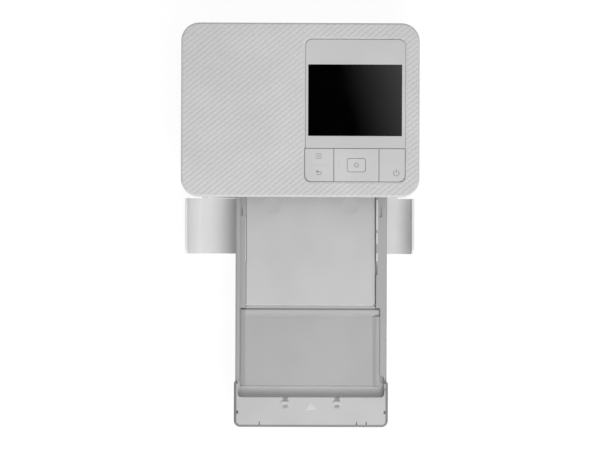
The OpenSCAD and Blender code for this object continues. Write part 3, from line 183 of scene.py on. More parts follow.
def moulded(name, colour, grain_mm=0.35, grain_depth=0.012, roughness=0.55, wear=0.03,
            edge_mm=0.3, others=()):
    """Moulded plastic: spark-eroded grain, a slow drift of tone, faint scuffs and soft edges.
    others are further colours, each with a function of the finish that says where it lies."""
    finish = Finish(name, colour, roughness)
    grain = finish.noise(grain_mm, detail=3.0, roughness=0.6)
    drift = finish.noise(38, detail=1.0)
    scuff = finish.noise(2.2, detail=4.0, roughness=0.7, stretch=(1.0, 0.25, 1.0)).ramp(0.62, 0.8)
    darker = tuple(c * 0.955 for c in colour)
    paler = tuple(min(1.0, c * 1.03) for c in colour)
    tone = finish.tint(darker, paler, drift.ramp(0.3, 0.7) * 0.8 + grain * 0.2)
    for other, where in others:
        tone = finish.tint(tone, other, where(finish))
    finish.feed(Base_Color=tone, Roughness=(grain - 0.5) * 0.16 + scuff * wear + roughness)
    finish.relief(grain, grain_depth, edge_mm)
    return finish


def dress(finish, *names):
    """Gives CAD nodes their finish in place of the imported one."""
    for name in names:
        node = nodes[name]
        node.data.materials.clear()
        node.data.materials.append(finish.material)


case_finish = moulded("case_plastic_grained", grey(0.56))
dress(case_finish, "bottom_case", "front_frame", "ribbon_door")

# ---------------------------------------------------------------------------------------
# Top cover: the lid with its woven-looking relief.
# Moulded in the housing's plastic, a shade darker. The relief is cut in the mould: slanting
# beads in a twill, which run out over the rounded rim and stop short of the control panel.
# ---------------------------------------------------------------------------------------
lid_finish = moulded("lid_plastic_grained", grey(0.55), roughness=0.5)
dress(lid_finish, "top_cover")

lid_low, lid_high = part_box("top_cover")
bezel_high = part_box("display_bezel")[1]
row_low, row_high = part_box("menu_back_key")
lid_top = lid_high.z
rim_r = 1.6 * MM
corner_r = 14 * MM
panel_r = 4.8 * MM
flange = 1.6 * MM
panel_right, panel_back = bezel_high.x - flange, bezel_high.y - flange


def inside(x, y, left, right, front, back, radius):
    """Distance inside a rectangle with round corners: the rectangle is shrunk by the radius,
    the distance to what is left is measured, and the radius is added back."""
    dx = np.maximum(np.maximum(left + radius - x, x - right + radius), 0)
    dy = np.maximum(np.maximum(front + radius - y, y - back + radius), 0)
    near = np.minimum(np.minimum(x - left, right - x), np.minimum(y - front, back - y))
    return np.where((dx > 0) & (dy > 0), radius - np.hypot(dx, dy), near)


def smooth(t):
    """0 below 0 and 1 above 1, with a soft S between them."""
    t = np.clip(t, 0, 1)
    return t * t * (3 - 2 * t)


def build(name, points, faces, finish, body, slot, rounded=True):
    """Makes a piece from an array of points and a list or array of faces, and lets it ride."""
    mesh = bpy.data.meshes.new(name)
    mesh.from_pydata(np.asarray(points).reshape(-1, 3).tolist(), [], [list(f) for f in faces])
    mesh.validate()
    mesh.polygons.foreach_set("use_smooth", np.full(len(mesh.polygons), rounded))
    piece = bpy.data.objects.new(name, mesh)
    bpy.context.scene.collection.objects.link(piece)
    piece.data.materials.append(finish.material)
    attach(piece, body)


def grid_faces(rows, columns, closed=False):
    """Quads of a grid of rows x columns points, counted row by row. Where the grid is closed,
    they also join the last column to the first."""
    across = np.arange(columns if closed else columns - 1)
    r, c = np.meshgrid(np.arange(rows - 1), across, indexing="ij")
    n = (c + 1) % columns
    quads = np.stack([r * columns + c, r * columns + n, (r + 1) * columns + n,
                      (r + 1) * columns + c], axis=-1)
    return quads.reshape(-1, 4)


def twill(x, y):
    """Height, 0 to 1, of the relief: a cosine across the main slant, a weaker one across its
    mirror image, and one across X where the two meet, which breaks the ribs into beads."""
    slant = math.radians(39.2)
    pitch = 3.3 * MM
    mirror_share, bead_share = 0.3, 0.4
    main = (y * math.cos(slant) - x * math.sin(slant)) / pitch
    cross = (y * math.cos(slant) + x * math.sin(slant)) / pitch
    turn = 2 * np.pi
    total = (np.cos(turn * main) + mirror_share * np.cos(turn * cross)
             + bead_share * np.cos(turn * (main - cross)))
    return 0.5 + total / (2 * (1 + mirror_share + bead_share))


def lid_relief():
    """A sheet over the lid's top and round its rim. Its height is the lid's own, a quarter
    circle at the rim, plus the twill times a fade to nothing at the outer edge and at the
    panel, where the sheet dips just below the lid's face and ends unseen."""
    step = 0.45 * MM
    depth, dip, clear = 0.33 * MM, 0.03 * MM, 0.01 * MM
    margin, moat, fade = 0.5 * MM, 0.9 * MM, 0.6 * MM
    xs = np.arange(lid_low.x, lid_high.x + step, step)
    ys = np.arange(lid_low.y, lid_high.y + step, step)
    y, x = np.meshgrid(ys, xs, indexing="ij")
    outer = inside(x, y, lid_low.x, lid_high.x, lid_low.y, lid_high.y, corner_r)
    past_flat = np.clip(rim_r - outer, 0, rim_r)
    fall = rim_r - np.sqrt(rim_r ** 2 - past_flat ** 2)
    panel = inside(x, y, row_low.x - moat, panel_right + moat,
                   row_low.y - moat, panel_back + moat, panel_r + moat)
    room = np.minimum(outer - margin, -panel)
    rise = smooth(room / fade)
    z = lid_top - fall - dip + rise * (dip + clear + depth * twill(x, y))
    quads = grid_faces(*x.shape)
    hidden_rest = 0.6 * step
    kept = (room.ravel()[quads] > -hidden_rest).all(axis=1)
    used, faces = np.unique(quads[kept], return_inverse=True)
    points = np.stack([x, y, z], axis=-1).reshape(-1, 3)[used]
    return points, faces.reshape(-1, 4)


build("lid_relief", *lid_relief(), lid_finish, "case", "lid_plastic")

# ---------------------------------------------------------------------------------------
# Front door, folded down in front of the printer.
# One moulding, paler and smoother than the housing, whose ends curl up to follow the
# case's corners; it turns on two steel pins in the bottom case's front bead.
# ---------------------------------------------------------------------------------------
door_finish = moulded("front_door_plastic", grey(0.71), roughness=0.42)
dress(door_finish, "front_door")

# ---------------------------------------------------------------------------------------
# Display: a raised bezel with a polished black window let into it, above the module.
# The bezel is grained like the keys; the window is a hard acrylic sheet with faint smears.
# ---------------------------------------------------------------------------------------
bezel_finish = moulded("bezel_plastic_grained", grey(0.53), grain_mm=0.25, roughness=0.48)
dress(bezel_finish, "display_bezel")

window_black, smear_black = grey(0.0002), grey(0.0008)
window_finish = Finish("window_acrylic", window_black, roughness=0.03, specular=0.6)
smear = window_finish.noise(14, detail=3.0, stretch=(1.0, 0.5, 1.0))
window_finish.feed(Base_Color=window_finish.tint(window_black, smear_black, smear),
    Roughness=smear.ramp(0.4, 0.75) * 0.02 + 0.03)
window_finish.relief(smear, 0.002, edge_mm=0.2)
dress(window_finish, "display_window")

# ---------------------------------------------------------------------------------------
# Keys: a menu and back rocker, a four-way pad with its centre button, and the power key.
# Moulded caps that press on the domes below them. Their signs are printed in dark grey
# ink, and the pad's chevrons and the rocker's divider in a paler one.
# ---------------------------------------------------------------------------------------
key_finish = moulded("key_plastic_grained", grey(0.545), grain_mm=0.22, roughness=0.45,
                     edge_mm=0.2)
dress(key_finish, "menu_back_key", "nav_pad", "power_key", "ok_button")


def ink(name, colour, darker, paler):
    """Printed ink, its tone mottled at the scale of the print's own grain."""
    finish = Finish(name, colour, roughness=0.6)
    grain = finish.noise(0.12, detail=2.0)
    finish.feed(Base_Color=finish.tint(darker, paler, grain))
    return finish, grain


dark_ink, ink_grain = ink("printed_grey_ink", grey(0.27), grey(0.2), grey(0.34))
dark_ink.feed(Roughness=ink_grain * 0.2 + 0.5)
pale_ink, _ = ink("printed_pale_ink", grey(0.46), grey(0.44), grey(0.5))
sign_rise = 0.02 * MM
pale_stroke, dark_stroke, ring_stroke = 0.4 * MM, 0.55 * MM, 0.6 * MM


def arc(x, y, radius, start, end, count=20):
    """Points round a centre from one angle to another, in degrees."""
    turn = np.radians(np.linspace(start, end, count))
    return np.stack([x + radius * np.cos(turn), y + radius * np.sin(turn)], axis=-1)


def ribbon(path, width, z):
    """A flat strip along a path: each point is put off to both sides, square to the path's
    direction there, by half the width."""
    path = np.asarray(path, dtype=float)
    along = np.gradient(path, axis=0)
    along /= np.linalg.norm(along, axis=1, keepdims=True)
    aside = np.stack([-along[:, 1], along[:, 0]], axis=-1) * width / 2
    rows = np.stack([path + aside, path - aside], axis=1)
    points = np.concatenate([rows, np.full((len(path), 2, 1), z)], axis=-1).reshape(-1, 3)
    return points, grid_faces(len(path), 2)


def signs(name, paths, width, z, finish, body):
    """One piece from several strips on the same face."""
    points, faces = [], []
    count = 0
    for path in paths:
        strip, quads = ribbon(path, width, z)
        points.append(strip)
        faces.append(quads + count)
        count += len(strip)
    build(name, np.concatenate(points), np.concatenate(faces), finish, body, "dark_plastic",
          rounded=False)


menu_left_of_middle = 0.45 * MM
menu_x = (row_low.x + row_high.x) / 2 - menu_left_of_middle
menu_y = (row_low.y + row_high.y) / 2
bar_half, bar_pitch, first_bar = 2.3 * MM, 1.6 * MM, 5.2 * MM
bars = [[(menu_x - bar_half, y), (menu_x + bar_half, y)]
        for y in menu_y + first_bar + bar_pitch * np.arange(3)]
bend_x, bend_y, bend_r = menu_x + 1.0 * MM, menu_y - 6.1 * MM, 1.05 * MM
upper_arm, lower_arm = 2.3 * MM, 2.7 * MM
back_arrow = np.concatenate([[(bend_x - upper_arm, bend_y + bend_r)],
                             arc(bend_x, bend_y, bend_r, 90, -90),
                             [(bend_x - lower_arm, bend_y - bend_r)]])
signs("menu_and_back_signs", [*bars, back_arrow], dark_stroke, row_high.z + sign_rise,
      dark_ink, "menu_back_key")

head_x, head_r, head_stroke = bend_x - 2.0 * MM, 0.5 * MM, 0.95 * MM
arrow_head = arc(head_x, bend_y + bend_r, head_r, 0, 360, 17)
signs("back_arrow_head", [arrow_head], head_stroke, row_high.z + 1.5 * sign_rise,
      dark_ink, "menu_back_key")

divider_left, divider_right = menu_x - 6.6 * MM, menu_x + 7.9 * MM
signs("menu_key_divider", [[(divider_left, menu_y), (divider_right, menu_y)]], pale_stroke,
      row_high.z + sign_rise, pale_ink, "menu_back_key")

pad_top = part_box("nav_pad")[1].z
ok_low, ok_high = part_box("ok_button")
ok_x, ok_y = (ok_low.x + ok_high.x) / 2, (ok_low.y + ok_high.y) / 2
reach_x, reach_y, barb = 13.0 * MM, 8.9 * MM, 1.1 * MM
ring_r = 1.5 * MM


def chevron(out_x, out_y, reach):
    """Two strokes that meet in a tip and point away from the centre button, along X or Y."""
    out, aside = np.array([out_x, out_y]), np.abs([out_y, out_x])
    foot = out * reach + (ok_x, ok_y)
    return [foot - aside * barb, foot + out * barb, foot + aside * barb]


chevrons = [chevron(side, 0, reach_x) for side in (-1, 1)]
chevrons += [chevron(0, side, reach_y) for side in (-1, 1)]
signs("direction_signs", chevrons, pale_stroke, pad_top + sign_rise, pale_ink, "nav_pad")
signs("centre_button_sign", [arc(ok_x, ok_y, ring_r, 0, 360, 33)], ring_stroke,
      ok_high.z + sign_rise, dark_ink, "ok_button")

power_low, power_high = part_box("power_key")
mark_x, mark_y, mark_r = power_high.x - 6.6 * MM, power_low.y + 6.5 * MM, 2.1 * MM
half_gap = 32
stem = [(mark_x, mark_y + 0.3 * MM), (mark_x, mark_y + 3.1 * MM)]
signs("power_sign", [arc(mark_x, mark_y, mark_r, 90 + half_gap, 450 - half_gap, 40), stem],
      ring_stroke, power_high.z + sign_rise, dark_ink, "power_key")

# ---------------------------------------------------------------------------------------
# Paper cassette's tray: two rails, with the scooped handle block at their outer end.
# One moulding in grey ABS; its rails are coloured darker than the handle block, and the block's
# sides below the rounded edge of its top are painted darker still, as painted shade. The paler
# strips on the rails are the sprung tabs that click into the printer.
# ---------------------------------------------------------------------------------------
tray_low, tray_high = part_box("cassette_tray")
tray_mid = (tray_low.x + tray_high.x) / 2
handle_len, cheek_len = 23.4 * MM, 10.5 * MM
hook_rise = 0.6 * MM
block_top = tray_high.z - hook_rise
handle_y = tray_low.y + handle_len
cheek_y = handle_y + cheek_len


def tray_rails(finish):
    """1 on the tray's long body, beyond the handle block's cheeks."""
    return finish.axes()[1].past(cheek_y, 0.1 * MM)


def block_side_painted_shade(finish):
    """1 on the handle block below the rounded edge of its top, where shade is painted."""
    _, y, z = finish.axes()
    below_edge = 1 - z.past(block_top - 0.1 * MM, 0.04 * MM)
    return below_edge * (1 - y.past(handle_y, 0.1 * MM))


# the rails are a darker tone; the handle block's sides below its top get painted shade
tray_finish = moulded("tray_plastic_grained", grey(0.46), grain_mm=0.3, roughness=0.5,
                      others=[(grey(0.35), tray_rails), (grey(0.25), block_side_painted_shade)])
dress(tray_finish, "cassette_tray")
tab_finish = moulded("lock_tab_plastic", grey(0.6), grain_mm=0.2, roughness=0.45)
dress(tab_finish, "cassette_lock_tabs")

# ---------------------------------------------------------------------------------------
# Two cover plates over the paper, hinged to the tray at the seam between them.
# Moulded in a frosted, slightly smoky plastic: the far cover looks paler where its hinge
# thickens it, and its left margin beside the rail is painted darker as shade. Their upper edges
# are rounded.
# ---------------------------------------------------------------------------------------
near_low, near_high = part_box("cassette_near_cover")
far_low, far_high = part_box("cassette_far_cover")
case_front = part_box("bottom_case")[0].y
face_z = far_high.z
leaf_t = 1.5 * MM
seat_gap = 0.3 * MM
near_pin, far_pin = 2 * MM, 0.8 * MM
rail_gap_w = 2.2 * MM
well_right = near_high.x - near_pin
near_left, near_right = near_low.x + near_pin + seat_gap, well_right - rail_gap_w
far_left, far_right = far_low.x + far_pin + seat_gap, far_high.x - far_pin - seat_gap
hinge_r, hinge_offset = 1.3 * MM, 2.4 * MM
seam_y = far_high.y + hinge_offset - hinge_r
paper_half = 51.0 * MM
paper_left = tray_mid - paper_half


def left_margin_painted_shade(finish):
    """1 on the far cover's left margin, which is painted darker as shade beside the left rail."""
    return 1 - finish.axes()[0].past(paper_left - 0.3 * MM, 0.9 * MM)


def over_hinge(finish):
    """1 on the band of the far cover beside the seam, where its hinge thickens it."""
    return finish.axes()[1].past(seam_y - 4.9 * MM, 0.2 * MM)


near_finish = moulded("near_cover_frosted", grey(0.487), grain_mm=0.5, roughness=0.4)
dress(near_finish, "cassette_near_cover")
# the left margin's darker grey is painted shade beside the rail
far_finish = moulded("far_cover_frosted", grey(0.38), grain_mm=0.5, roughness=0.4,
                     others=[(grey(0.42), over_hinge), (grey(0.31), left_margin_painted_shade)])
dress(far_finish, "cassette_far_cover")


def behind_front(depth_mm):
    """Y of a depth in millimetres behind the case's front face, as the construction counts it."""
    return case_front + depth_mm * MM


def bar(outline, start, end, along_x=False):
    """A straight bar: a closed outline of points across it, carried from start to end along X
    or Y, with both ends shut. The outline runs clockwise seen from the right or the front."""
    outline = np.asarray(outline)
    count = len(outline)
    rows = []
    for place in (start, end):
        places = np.full((count, 1), place)
        rows.append(np.hstack([places, outline]) if along_x
                    else np.hstack([outline[:, :1], places, outline[:, 1:]]))
    start_cap, end_cap = list(range(count))[::-1], list(range(count, 2 * count))
    faces = [*grid_faces(2, count, closed=True).tolist(), start_cap, end_cap]
    if along_x:
        faces = [face[::-1] for face in faces]
    return np.stack(rows), faces


def lip(edge, start, end, reach, drop=0.8 * MM, along_x=False):
    """A cover's rounded edge: from just inside the edge a flat, then a quarter ellipse that
    goes out by the reach and down by the drop, and below it the cover's straight side."""
    overlap, clear = 0.3 * MM, 0.005 * MM
    turn = np.linspace(np.pi / 2, 0, 8)
    root = edge - math.copysign(overlap, reach)
    top = face_z + clear
    out = np.concatenate([[root], edge + reach * np.cos(turn), [edge + reach, root]])
    up = np.concatenate([[top], top - drop + drop * np.sin(turn), [top - leaf_t, top - leaf_t]])
    outline = np.column_stack([out, up])
    return bar(outline if reach > 0 else outline[::-1], start, end, along_x)


scoop_len = 7.9 * MM
far_front, far_back = handle_y + scoop_len + seat_gap, seam_y - hinge_offset
near_front, mouth_y = seam_y + hinge_offset, behind_front(2)
# on the left a lock strip stands beside the near cover, so its lip leaves that stretch out
strip_front, strip_back = behind_front(-50.2), behind_front(-14.7)
fine_reach = 0.25 * MM
wide_reach, wide_drop = 2.12 * MM, 1.1 * MM
near_lips = {
    "near_cover_right_lip": lip(near_right, near_front, mouth_y, wide_reach, wide_drop),
    "near_cover_left_lip": lip(near_left, near_front, strip_front, -fine_reach),
    "near_cover_left_lip_2": lip(near_left, strip_back, mouth_y, -fine_reach),
}
far_lips = {
    "far_cover_left_lip": lip(far_left, far_front, far_back, -fine_reach),
    "far_cover_right_lip": lip(far_right, far_front, far_back, fine_reach),
    "far_cover_front_lip": lip(far_front, far_left, far_right, -fine_reach, along_x=True),
}
for lips, finish, body in ((near_lips, near_finish, "cassette"),
                           (far_lips, far_finish, "far_cover")):
    for name, mesh in lips.items():
        build(name, *mesh, finish, body, "tray_plastic", rounded=False)


def finger_groove():
    """The shallow hollow across the far cover: a whole cosine wave, down and up again."""
    margin, depth, clear = 1.6 * MM, 0.1 * MM, 0.01 * MM
    front, back = seam_y - 8.6 * MM, seam_y - 5.0 * MM
    rows = 13
    x, v = np.meshgrid([far_left + margin, far_right - margin], np.linspace(0, 1, rows))
    y = front + (back - front) * v
    z = face_z + clear - depth / 2 * (1 - np.cos(2 * np.pi * v))
    return np.stack([x, y, z], axis=-1), grid_faces(rows, 2)


build("finger_groove", *finger_groove(), far_finish, "far_cover", "tray_plastic")

# ---------------------------------------------------------------------------------------
# Bar between the two covers, and the raised right margin of the far one.
# Both are solid grey plastic with nothing pale below them, so they look darker than the
# covers; the bar's dark tone is also painted shade of the valley between the covers. The bar is
# part of the tray; the margin turns with its cover.
# ---------------------------------------------------------------------------------------
# on the seam bar this darker grey is partly painted shade
web_finish = moulded("seam_web_plastic", grey(0.36), grain_mm=0.3, roughness=0.5)


def seam_web():
    """The tray's bar between the two covers: its top falls in a soft S from the near cover's
    round edge and turns down in a steep one just short of the far cover's."""
    front, back, foot_back = -0.78 * MM, 1.7 * MM, 1.1 * MM
    soft_fall, soft_run = 0.15 * MM, 2.5 * MM
    steep_fall, steep_run = 0.3 * MM, 0.4 * MM
    low_top, foot = 0.95 * MM, -0.2 * MM
    y = np.linspace(front, back, 20)
    z = (low_top + soft_fall * smooth((y - front) / soft_run)
         - steep_fall * (1 - smooth((y - front) / steep_run)))
    outline = np.column_stack([[*y, foot_back, front], [*z, foot, foot]])
    outline += (seam_y, face_z - hinge_r)
    return bar(outline, near_left, well_right - seat_gap, along_x=True)


def right_hem():
    """The raised right margin of the far cover: it falls in an S to the cover's face where
    the paper begins, and goes on a little below that face."""
    rise, sink, end_gap = 1.3 * MM, 0.39 * MM, 4.4 * MM
    edge, brow, foot = far_right + fine_reach, far_right - 2.2 * MM, far_right - 5.6 * MM
    t = np.linspace(0, 1, 12)
    x = [edge, *(brow + (foot - brow) * t), foot, edge]
    z = [rise, *(rise * (1 - smooth(t))), -sink, -sink]
    outline = np.column_stack([x, z])[::-1] + (0, face_z)
    return bar(outline, far_front, far_back - end_gap)


build("seam_web", *seam_web(), web_finish, "cassette", "tray_plastic", rounded=False)
build("far_cover_right_hem", *right_hem(), web_finish, "far_cover", "tray_plastic", rounded=False)

# ---------------------------------------------------------------------------------------
# Handle block: its rounded shoulder, and the triangle that shows which way to push.
# Both are moulded with the tray. The shoulder is painted dark, as the shade on its steep
# rounded faces, and the raised triangle is a little paler.
# ---------------------------------------------------------------------------------------
# the shoulder's near-black grey is painted shade
shoulder_shade_finish = moulded("block_shoulder_painted_shade", grey(0.19), grain_mm=0.3, roughness=0.5)
mark_finish = moulded("push_mark_plastic", grey(0.54), grain_mm=0.3, roughness=0.4)
block_r = 5 * MM
block_step = 1.1 * MM
block_drop = 3 * MM


def block_shoulder():
    """The rounded shoulder of the handle block: a quarter ellipse, steep outside, and a narrow
    flat on top, carried round the block's front corners from one cheek to the other."""
    flat_end, clear = 2.1 * MM, 0.012 * MM
    slope = np.linspace(0, np.pi / 2, 7)
    inset = np.append(block_step * (1 - np.cos(slope)), flat_end)
    height = np.append(block_drop * np.sin(slope), block_drop) + clear
    corner = np.linspace(0, 90, 12)
    turn = np.radians(np.concatenate([[180], 180 + corner, 270 + corner, [360]]))[:, None]
    x = np.repeat([tray_low.x + block_r, tray_high.x - block_r], 1 + len(corner))[:, None]
    y = np.full_like(turn, tray_low.y + block_r)
    y[[0, -1]] = cheek_y
    sheet = np.empty((len(turn), len(inset), 3))
    sheet[..., 0] = x + np.cos(turn) * (block_r - inset)
    sheet[..., 1] = y + np.sin(turn) * (block_r - inset)
    sheet[..., 2] = block_top - block_drop + height
    return sheet, grid_faces(len(turn), len(inset))[:, ::-1]


def push_mark():
    """A raised triangle that points the way the cassette goes in: two outlines, the upper one
    drawn in a little, with sides between them."""
    half_width, foot, tip = 4.7 * MM, 13.4 * MM, 19.6 * MM
    drawn_in, sink, rise = 0.93, 0.02 * MM, 0.12 * MM
    corners = np.array([(-half_width, foot), (half_width, foot), (0, tip)])
    corners += (tray_mid, tray_low.y)
    middle = corners.mean(axis=0)
    lower = np.column_stack([corners, np.full(3, block_top - sink)])
    upper = np.column_stack([middle + (corners - middle) * drawn_in, np.full(3, block_top + rise)])
    sides = [(i, (i + 1) % 3, (i + 1) % 3 + 3, i + 3) for i in range(3)]
    return np.concatenate([lower, upper]), sides + [(3, 4, 5)]


build("handle_shoulder", *block_shoulder(), shoulder_shade_finish, "cassette", "tray_plastic")
build("push_mark", *push_mark(), mark_finish, "cassette", "tray_plastic", rounded=False)

# ---------------------------------------------------------------------------------------
# Stacking hooks: two small ridges on the handle block that keep the prints on it.
# Moulded with the tray. Sloping dips before and behind each ridge are painted darker
# than the block's top, as the shade that falls in them.
# ---------------------------------------------------------------------------------------


def dips_painted_shade(finish):
    """1 in the dips, where shade is painted, 0 on the block's top."""
    return 1 - finish.axes()[2].ramp(block_top - 1.2 * MM, block_top - 0.1 * MM)


# the dips' darker grey is painted shade
hook_finish = moulded("hook_plastic", grey(0.46), grain_mm=0.3, roughness=0.5,
                      others=[(grey(0.36), dips_painted_shade)])


def climb(t, start, end):
    """0 at start and 1 at end, straight between them and level beyond; end may come first."""
    return np.clip((t - start) / (end - start), 0, 1)


def stacking_hook(side):
    """A sheet over the block's top, in millimetres from the scoop's edge outwards and from
    the hook's middle to its sides. It adds a ridge and takes off two dips, which climb and
    fall in straight or S-shaped slopes between the places given, and fade at the sides."""
    hook_offset, length, half_width, clear = 20.1 * MM, 9.2, 3.6, 0.01
    ridge_rise, inner_depth, outer_depth = 0.64, 1.9, 1.2
    t, x = np.meshgrid(np.linspace(0, length, 47), np.linspace(-half_width, half_width, 25),
                       indexing="ij")
    ridge = ridge_rise * climb(t, 2.7, 3.05) * climb(t, 5.75, 4.65)
    inner_dip = inner_depth * climb(t, 3.0, 0.0)
    outer_dip = outer_depth * smooth(climb(t, 5.5, 6.0)) * smooth(climb(t, 8.9, 6.1))
    rise = (ridge * smooth(climb(abs(x), 3.5, 2.5))
            - (inner_dip + outer_dip) * smooth(climb(abs(x), 2.4, 1.1)))
    points = np.stack([tray_mid + side * hook_offset + x * MM, handle_y - t * MM,
                       block_top + (clear + rise) * MM], axis=-1)
    return points, grid_faces(*t.shape)[:, ::-1]


for side, name in ((-1, "left"), (1, "right")):
    build("stacking_hook_" + name, *stacking_hook(side), hook_finish, "cassette", "tray_plastic")

# ---------------------------------------------------------------------------------------
# Mechanism, seen through the mouth, the vents and the ribbon bay.
# Shafts are ground steel, plates are zinc-plated sheet, gears are natural acetal, rollers
# are rubber on steel, and the head is a ceramic bar on an extruded aluminium heat sink.
# ---------------------------------------------------------------------------------------


def metal(name, colour, roughness, streak_mm, along, depth=0.004):
    """Metal with fine drawn or rolled streaks: noise stretched along one axis drives the
    roughness, the tone and a faint relief."""
    finish = Finish(name, colour, roughness, metallic=1.0)
    streaks = finish.noise(streak_mm, detail=4.0, roughness=0.6, stretch=along)
    stain = finish.noise(11, detail=2.0).ramp(0.45, 0.75)
    dull = tuple(c * 0.8 for c in colour)
    finish.feed(Base_Color=finish.tint(colour, dull, stain * 0.6 + streaks * 0.3),
        Roughness=(streaks - 0.5) * 0.25 + roughness)
    finish.relief(streaks, depth)
    return finish


plate_finish = metal("zinc_plated_sheet", (0.56, 0.57, 0.58), roughness=0.38, streak_mm=0.6,
                     along=(1.0, 0.08, 1.0))
shaft_finish = metal("ground_steel", (0.6, 0.6, 0.61), roughness=0.24, streak_mm=0.2,
                     along=(0.04, 1.0, 1.0))
sink_finish = metal("extruded_aluminium", (0.75, 0.76, 0.77), roughness=0.35, streak_mm=0.3,
                    along=(0.03, 1.0, 1.0))
pinion_finish = metal("machined_brass", (0.72, 0.53, 0.22), roughness=0.3, streak_mm=0.2,
                      along=(0.05, 1.0, 1.0))
dress(plate_finish, "left_side_plate", "right_side_plate", "motor_bracket", "head_frame",
      "stepper_motor")
dress(shaft_finish, "door_hinge_pins", "ribbon_door_pin", "platen_shaft", "capstan_shaft",
      "idler_stud", "pickup_drive_shaft", "pickup_roller_shaft", "head_pivot_shaft",
      "case_screws")
dress(sink_finish, "head_heat_sink")
dress(pinion_finish, "motor_pinion")

acetal_finish = moulded("natural_acetal", (0.72, 0.71, 0.66), grain_mm=0.2, roughness=0.32)
dress(acetal_finish, "platen_gear", "capstan_gear", "idler_gear", "pickup_drive_gear",
      "takeup_spindle", "supply_spindle")
black_finish = moulded("black_plastic_grained", (0.022, 0.022, 0.024), roughness=0.5)
dress(black_finish, "cassette_guides", "pickup_arm", "nav_tilt_plate")
rubber_finish = moulded("roller_rubber", grey(0.018), grain_mm=0.15, grain_depth=0.03,
                        roughness=0.75, wear=0.08)
dress(rubber_finish, "platen_rubber", "pickup_tyres", "pinch_roller", "pickup_belt",
      "rubber_feet")
ceramic_finish = moulded("glazed_ceramic", (0.7, 0.68, 0.6), grain_mm=0.8, roughness=0.18)
dress(ceramic_finish, "thermal_bar")

# ---------------------------------------------------------------------------------------
# Electronics: the main, power and key boards with their chips, sockets and domes.
# The boards are glass-fibre laminate under solder resist, green on the large ones and black
# on the key board; chips and inlet are black plastic, sockets and domes plated sheet.
# ---------------------------------------------------------------------------------------
board_finish = Finish("solder_resist", (0.02, 0.13, 0.05), roughness=0.35)
board_x, board_y = board_finish.axes()[:2]
across_pitch, along_pitch = 2.4 * MM, 7.5 * MM
tracks = ((board_x * (2 * math.pi / across_pitch)).sine()
          * (board_y * (2 * math.pi / along_pitch)).sine()).ramp(0.35, 0.5)
board_finish.feed(Base_Color=board_finish.tint((0.016, 0.11, 0.04), (0.04, 0.24, 0.1), tracks),
    Roughness=tracks * 0.1 + 0.3)
board_finish.relief(tracks, 0.03)
dress(board_finish, "main_board", "power_board")
key_board_finish = moulded("black_solder_resist", (0.008, 0.009, 0.008), grain_mm=0.6,
                           roughness=0.5)
dress(key_board_finish, "key_board")
dress(black_finish, "display_module", "board_chips", "power_inlet")
dress(plate_finish, "card_socket", "usb_socket", "dome_switches")

# ---------------------------------------------------------------------------------------
# Ribbon cartridge: a black plastic shell with its supply and take-up spools.
# The film that is wound on both and spans the opening between them is dyed polyester,
# glossy, with yellow and red-violet panels running into each other in its turns.
# ---------------------------------------------------------------------------------------
dress(black_finish, "ribbon_cartridge")
film_finish = Finish("dyed_ribbon", (0.3, 0.2, 0.08), roughness=0.2)
yellow_dye, magenta_dye = (0.28, 0.2, 0.03), (0.2, 0.05, 0.09)
wind = film_finish.noise(1.2, detail=3.0, stretch=(0.05, 1.0, 1.0))
film_finish.feed(Base_Color=film_finish.tint(yellow_dye, magenta_dye, wind.ramp(0.3, 0.7)),
    Roughness=wind * 0.2 + 0.12)
film_finish.relief(wind, 0.02)
dress(film_finish, "ribbon_supply_spool", "ribbon_takeup_spool", "ribbon_film")

# ---------------------------------------------------------------------------------------
# Studio: a white table in a white-walled room, under a ceiling that is dark on its left.
# A large soft box stands at the front right and a weak one at the front left. The camera
# itself sees both table and room as plain white.
# ---------------------------------------------------------------------------------------
floor_half, floor_z = 3.0, -0.2 * MM
floor_corners = [(x * floor_half, y * floor_half, floor_z)
                 for x, y in ((-1, -1), (1, -1), (1, 1), (-1, 1))]
floor_mesh = bpy.data.meshes.new("studio_floor")
floor_mesh.from_pydata(floor_corners, [], [(0, 1, 2, 3)])
floor = bpy.data.objects.new("studio_floor", floor_mesh)
bpy.context.scene.collection.objects.link(floor)

white_strength, white_share = 1.03, 0.9
floor_finish = Finish("studio_floor_paint", grey(0.9), roughness=0.9)
camera_ray = floor_finish.node("ShaderNodeLightPath", out="Is Camera Ray")
glossy_ray = floor_finish.node("ShaderNodeLightPath", out="Is Glossy Ray")
white = floor_finish.node("ShaderNodeEmission", None, (1, 1, 1, 1), white_strength)
shown = floor_finish.node("ShaderNodeMixShader", None,
    floor_finish.maths("MAXIMUM", camera_ray, glossy_ray) * white_share,
    floor_finish.shader, white)
# from below the floor is clear, so that the underside can be seen
from_below = floor_finish.node("ShaderNodeNewGeometry", out="Backfacing")
see_through = floor_finish.node("ShaderNodeBsdfTransparent")
floor_finish.show(floor_finish.node("ShaderNodeMixShader", None, from_below, shown, see_through))
floor.data.materials.append(floor_finish.material)

world = bpy.data.worlds.new("studio_sky")
bpy.context.scene.world = world
sky = NodeTree(world, "ShaderNodeOutputWorld")
across, forward, upward = sky.split(sky.node("ShaderNodeTexCoord", out="Generated"))
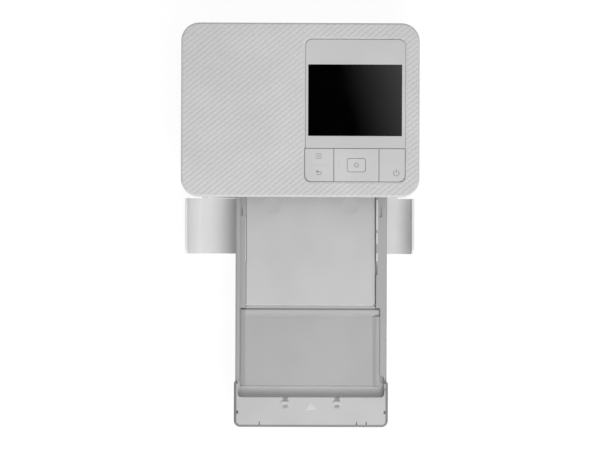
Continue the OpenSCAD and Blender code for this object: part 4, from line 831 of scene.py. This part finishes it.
# the dark part of the ceiling ends along a slanting line, and the display window mirrors it
line_slant = 0.29
dark_edge, lit_edge = 0.066, 0.099
glow_span, glow_power = 2.2, 1.4
glow_end = dark_edge + glow_span * (lit_edge - dark_edge)
glow = sky.node("ShaderNodeMapRange", None, across + forward * line_slant,
    dark_edge, glow_end, 0.0, glow_span) ** glow_power
ceiling_edge, walls_top = 0.97, 0.85
low_sky = upward.ramp(ceiling_edge, walls_top)
lit_sky = glow + low_sky * (1 - glow)
# the walls are greyer than the ceiling, so upright faces stay darker than flat ones
wall_level, wall_height = 0.45, 0.6
sky_fill = 0.62
sky_level = lit_sky * upward.ramp(0.0, wall_height, wall_level, 1.0) * sky_fill
to_camera = sky.node("ShaderNodeLightPath", out="Is Camera Ray")
sky.show(sky.node("ShaderNodeBackground", None, (1, 1, 1, 1),
    sky.maths("MAXIMUM", to_camera, sky_level)))


def softbox(name, at, size, power):
    """A square studio lamp at a place, turned towards the lid's middle."""
    lid_middle = Vector((0, 0, 0.03))
    lamp = bpy.data.lights.new(name, "AREA")
    lamp.shape = "SQUARE"
    lamp.size = size
    lamp.energy = power
    holder = bpy.data.objects.new(name, lamp)
    bpy.context.scene.collection.objects.link(holder)
    holder.location = at
    holder.rotation_euler = (lid_middle - Vector(at)).to_track_quat("-Z", "Y").to_euler()


softbox("key_softbox", (0.4, -1.15, 1.3), size=0.9, power=21.3)
softbox("fill_softbox", (-1.0, -0.8, 1.1), size=0.8, power=1.8)

# ---------------------------------------------------------------------------------------
# Camera: it looks straight down, from 1.1 metres above a point just in front of the case.
# Its focal length in pixels and its slight lean and turn are those of the photograph,
# whose frame is 600 pixels wide.
# ---------------------------------------------------------------------------------------
photo_width = 600
photo_focal = 1378
camera_x, camera_y, camera_z = -7 * MM, behind_front(-21.4), 1108 * MM
camera_lean, camera_turn = math.radians(-0.38), math.radians(0.18)
lens = bpy.data.cameras.new("camera")
lens.sensor_width = 36
lens.lens = photo_focal / photo_width * lens.sensor_width
camera = bpy.data.objects.new("camera", lens)
camera.location = (camera_x, camera_y, camera_z)
camera.rotation_euler = Euler((0, camera_lean, camera_turn))
bpy.context.scene.collection.objects.link(camera)
bpy.context.scene.camera = camera
bpy.context.scene.view_settings.view_transform = "Standard"
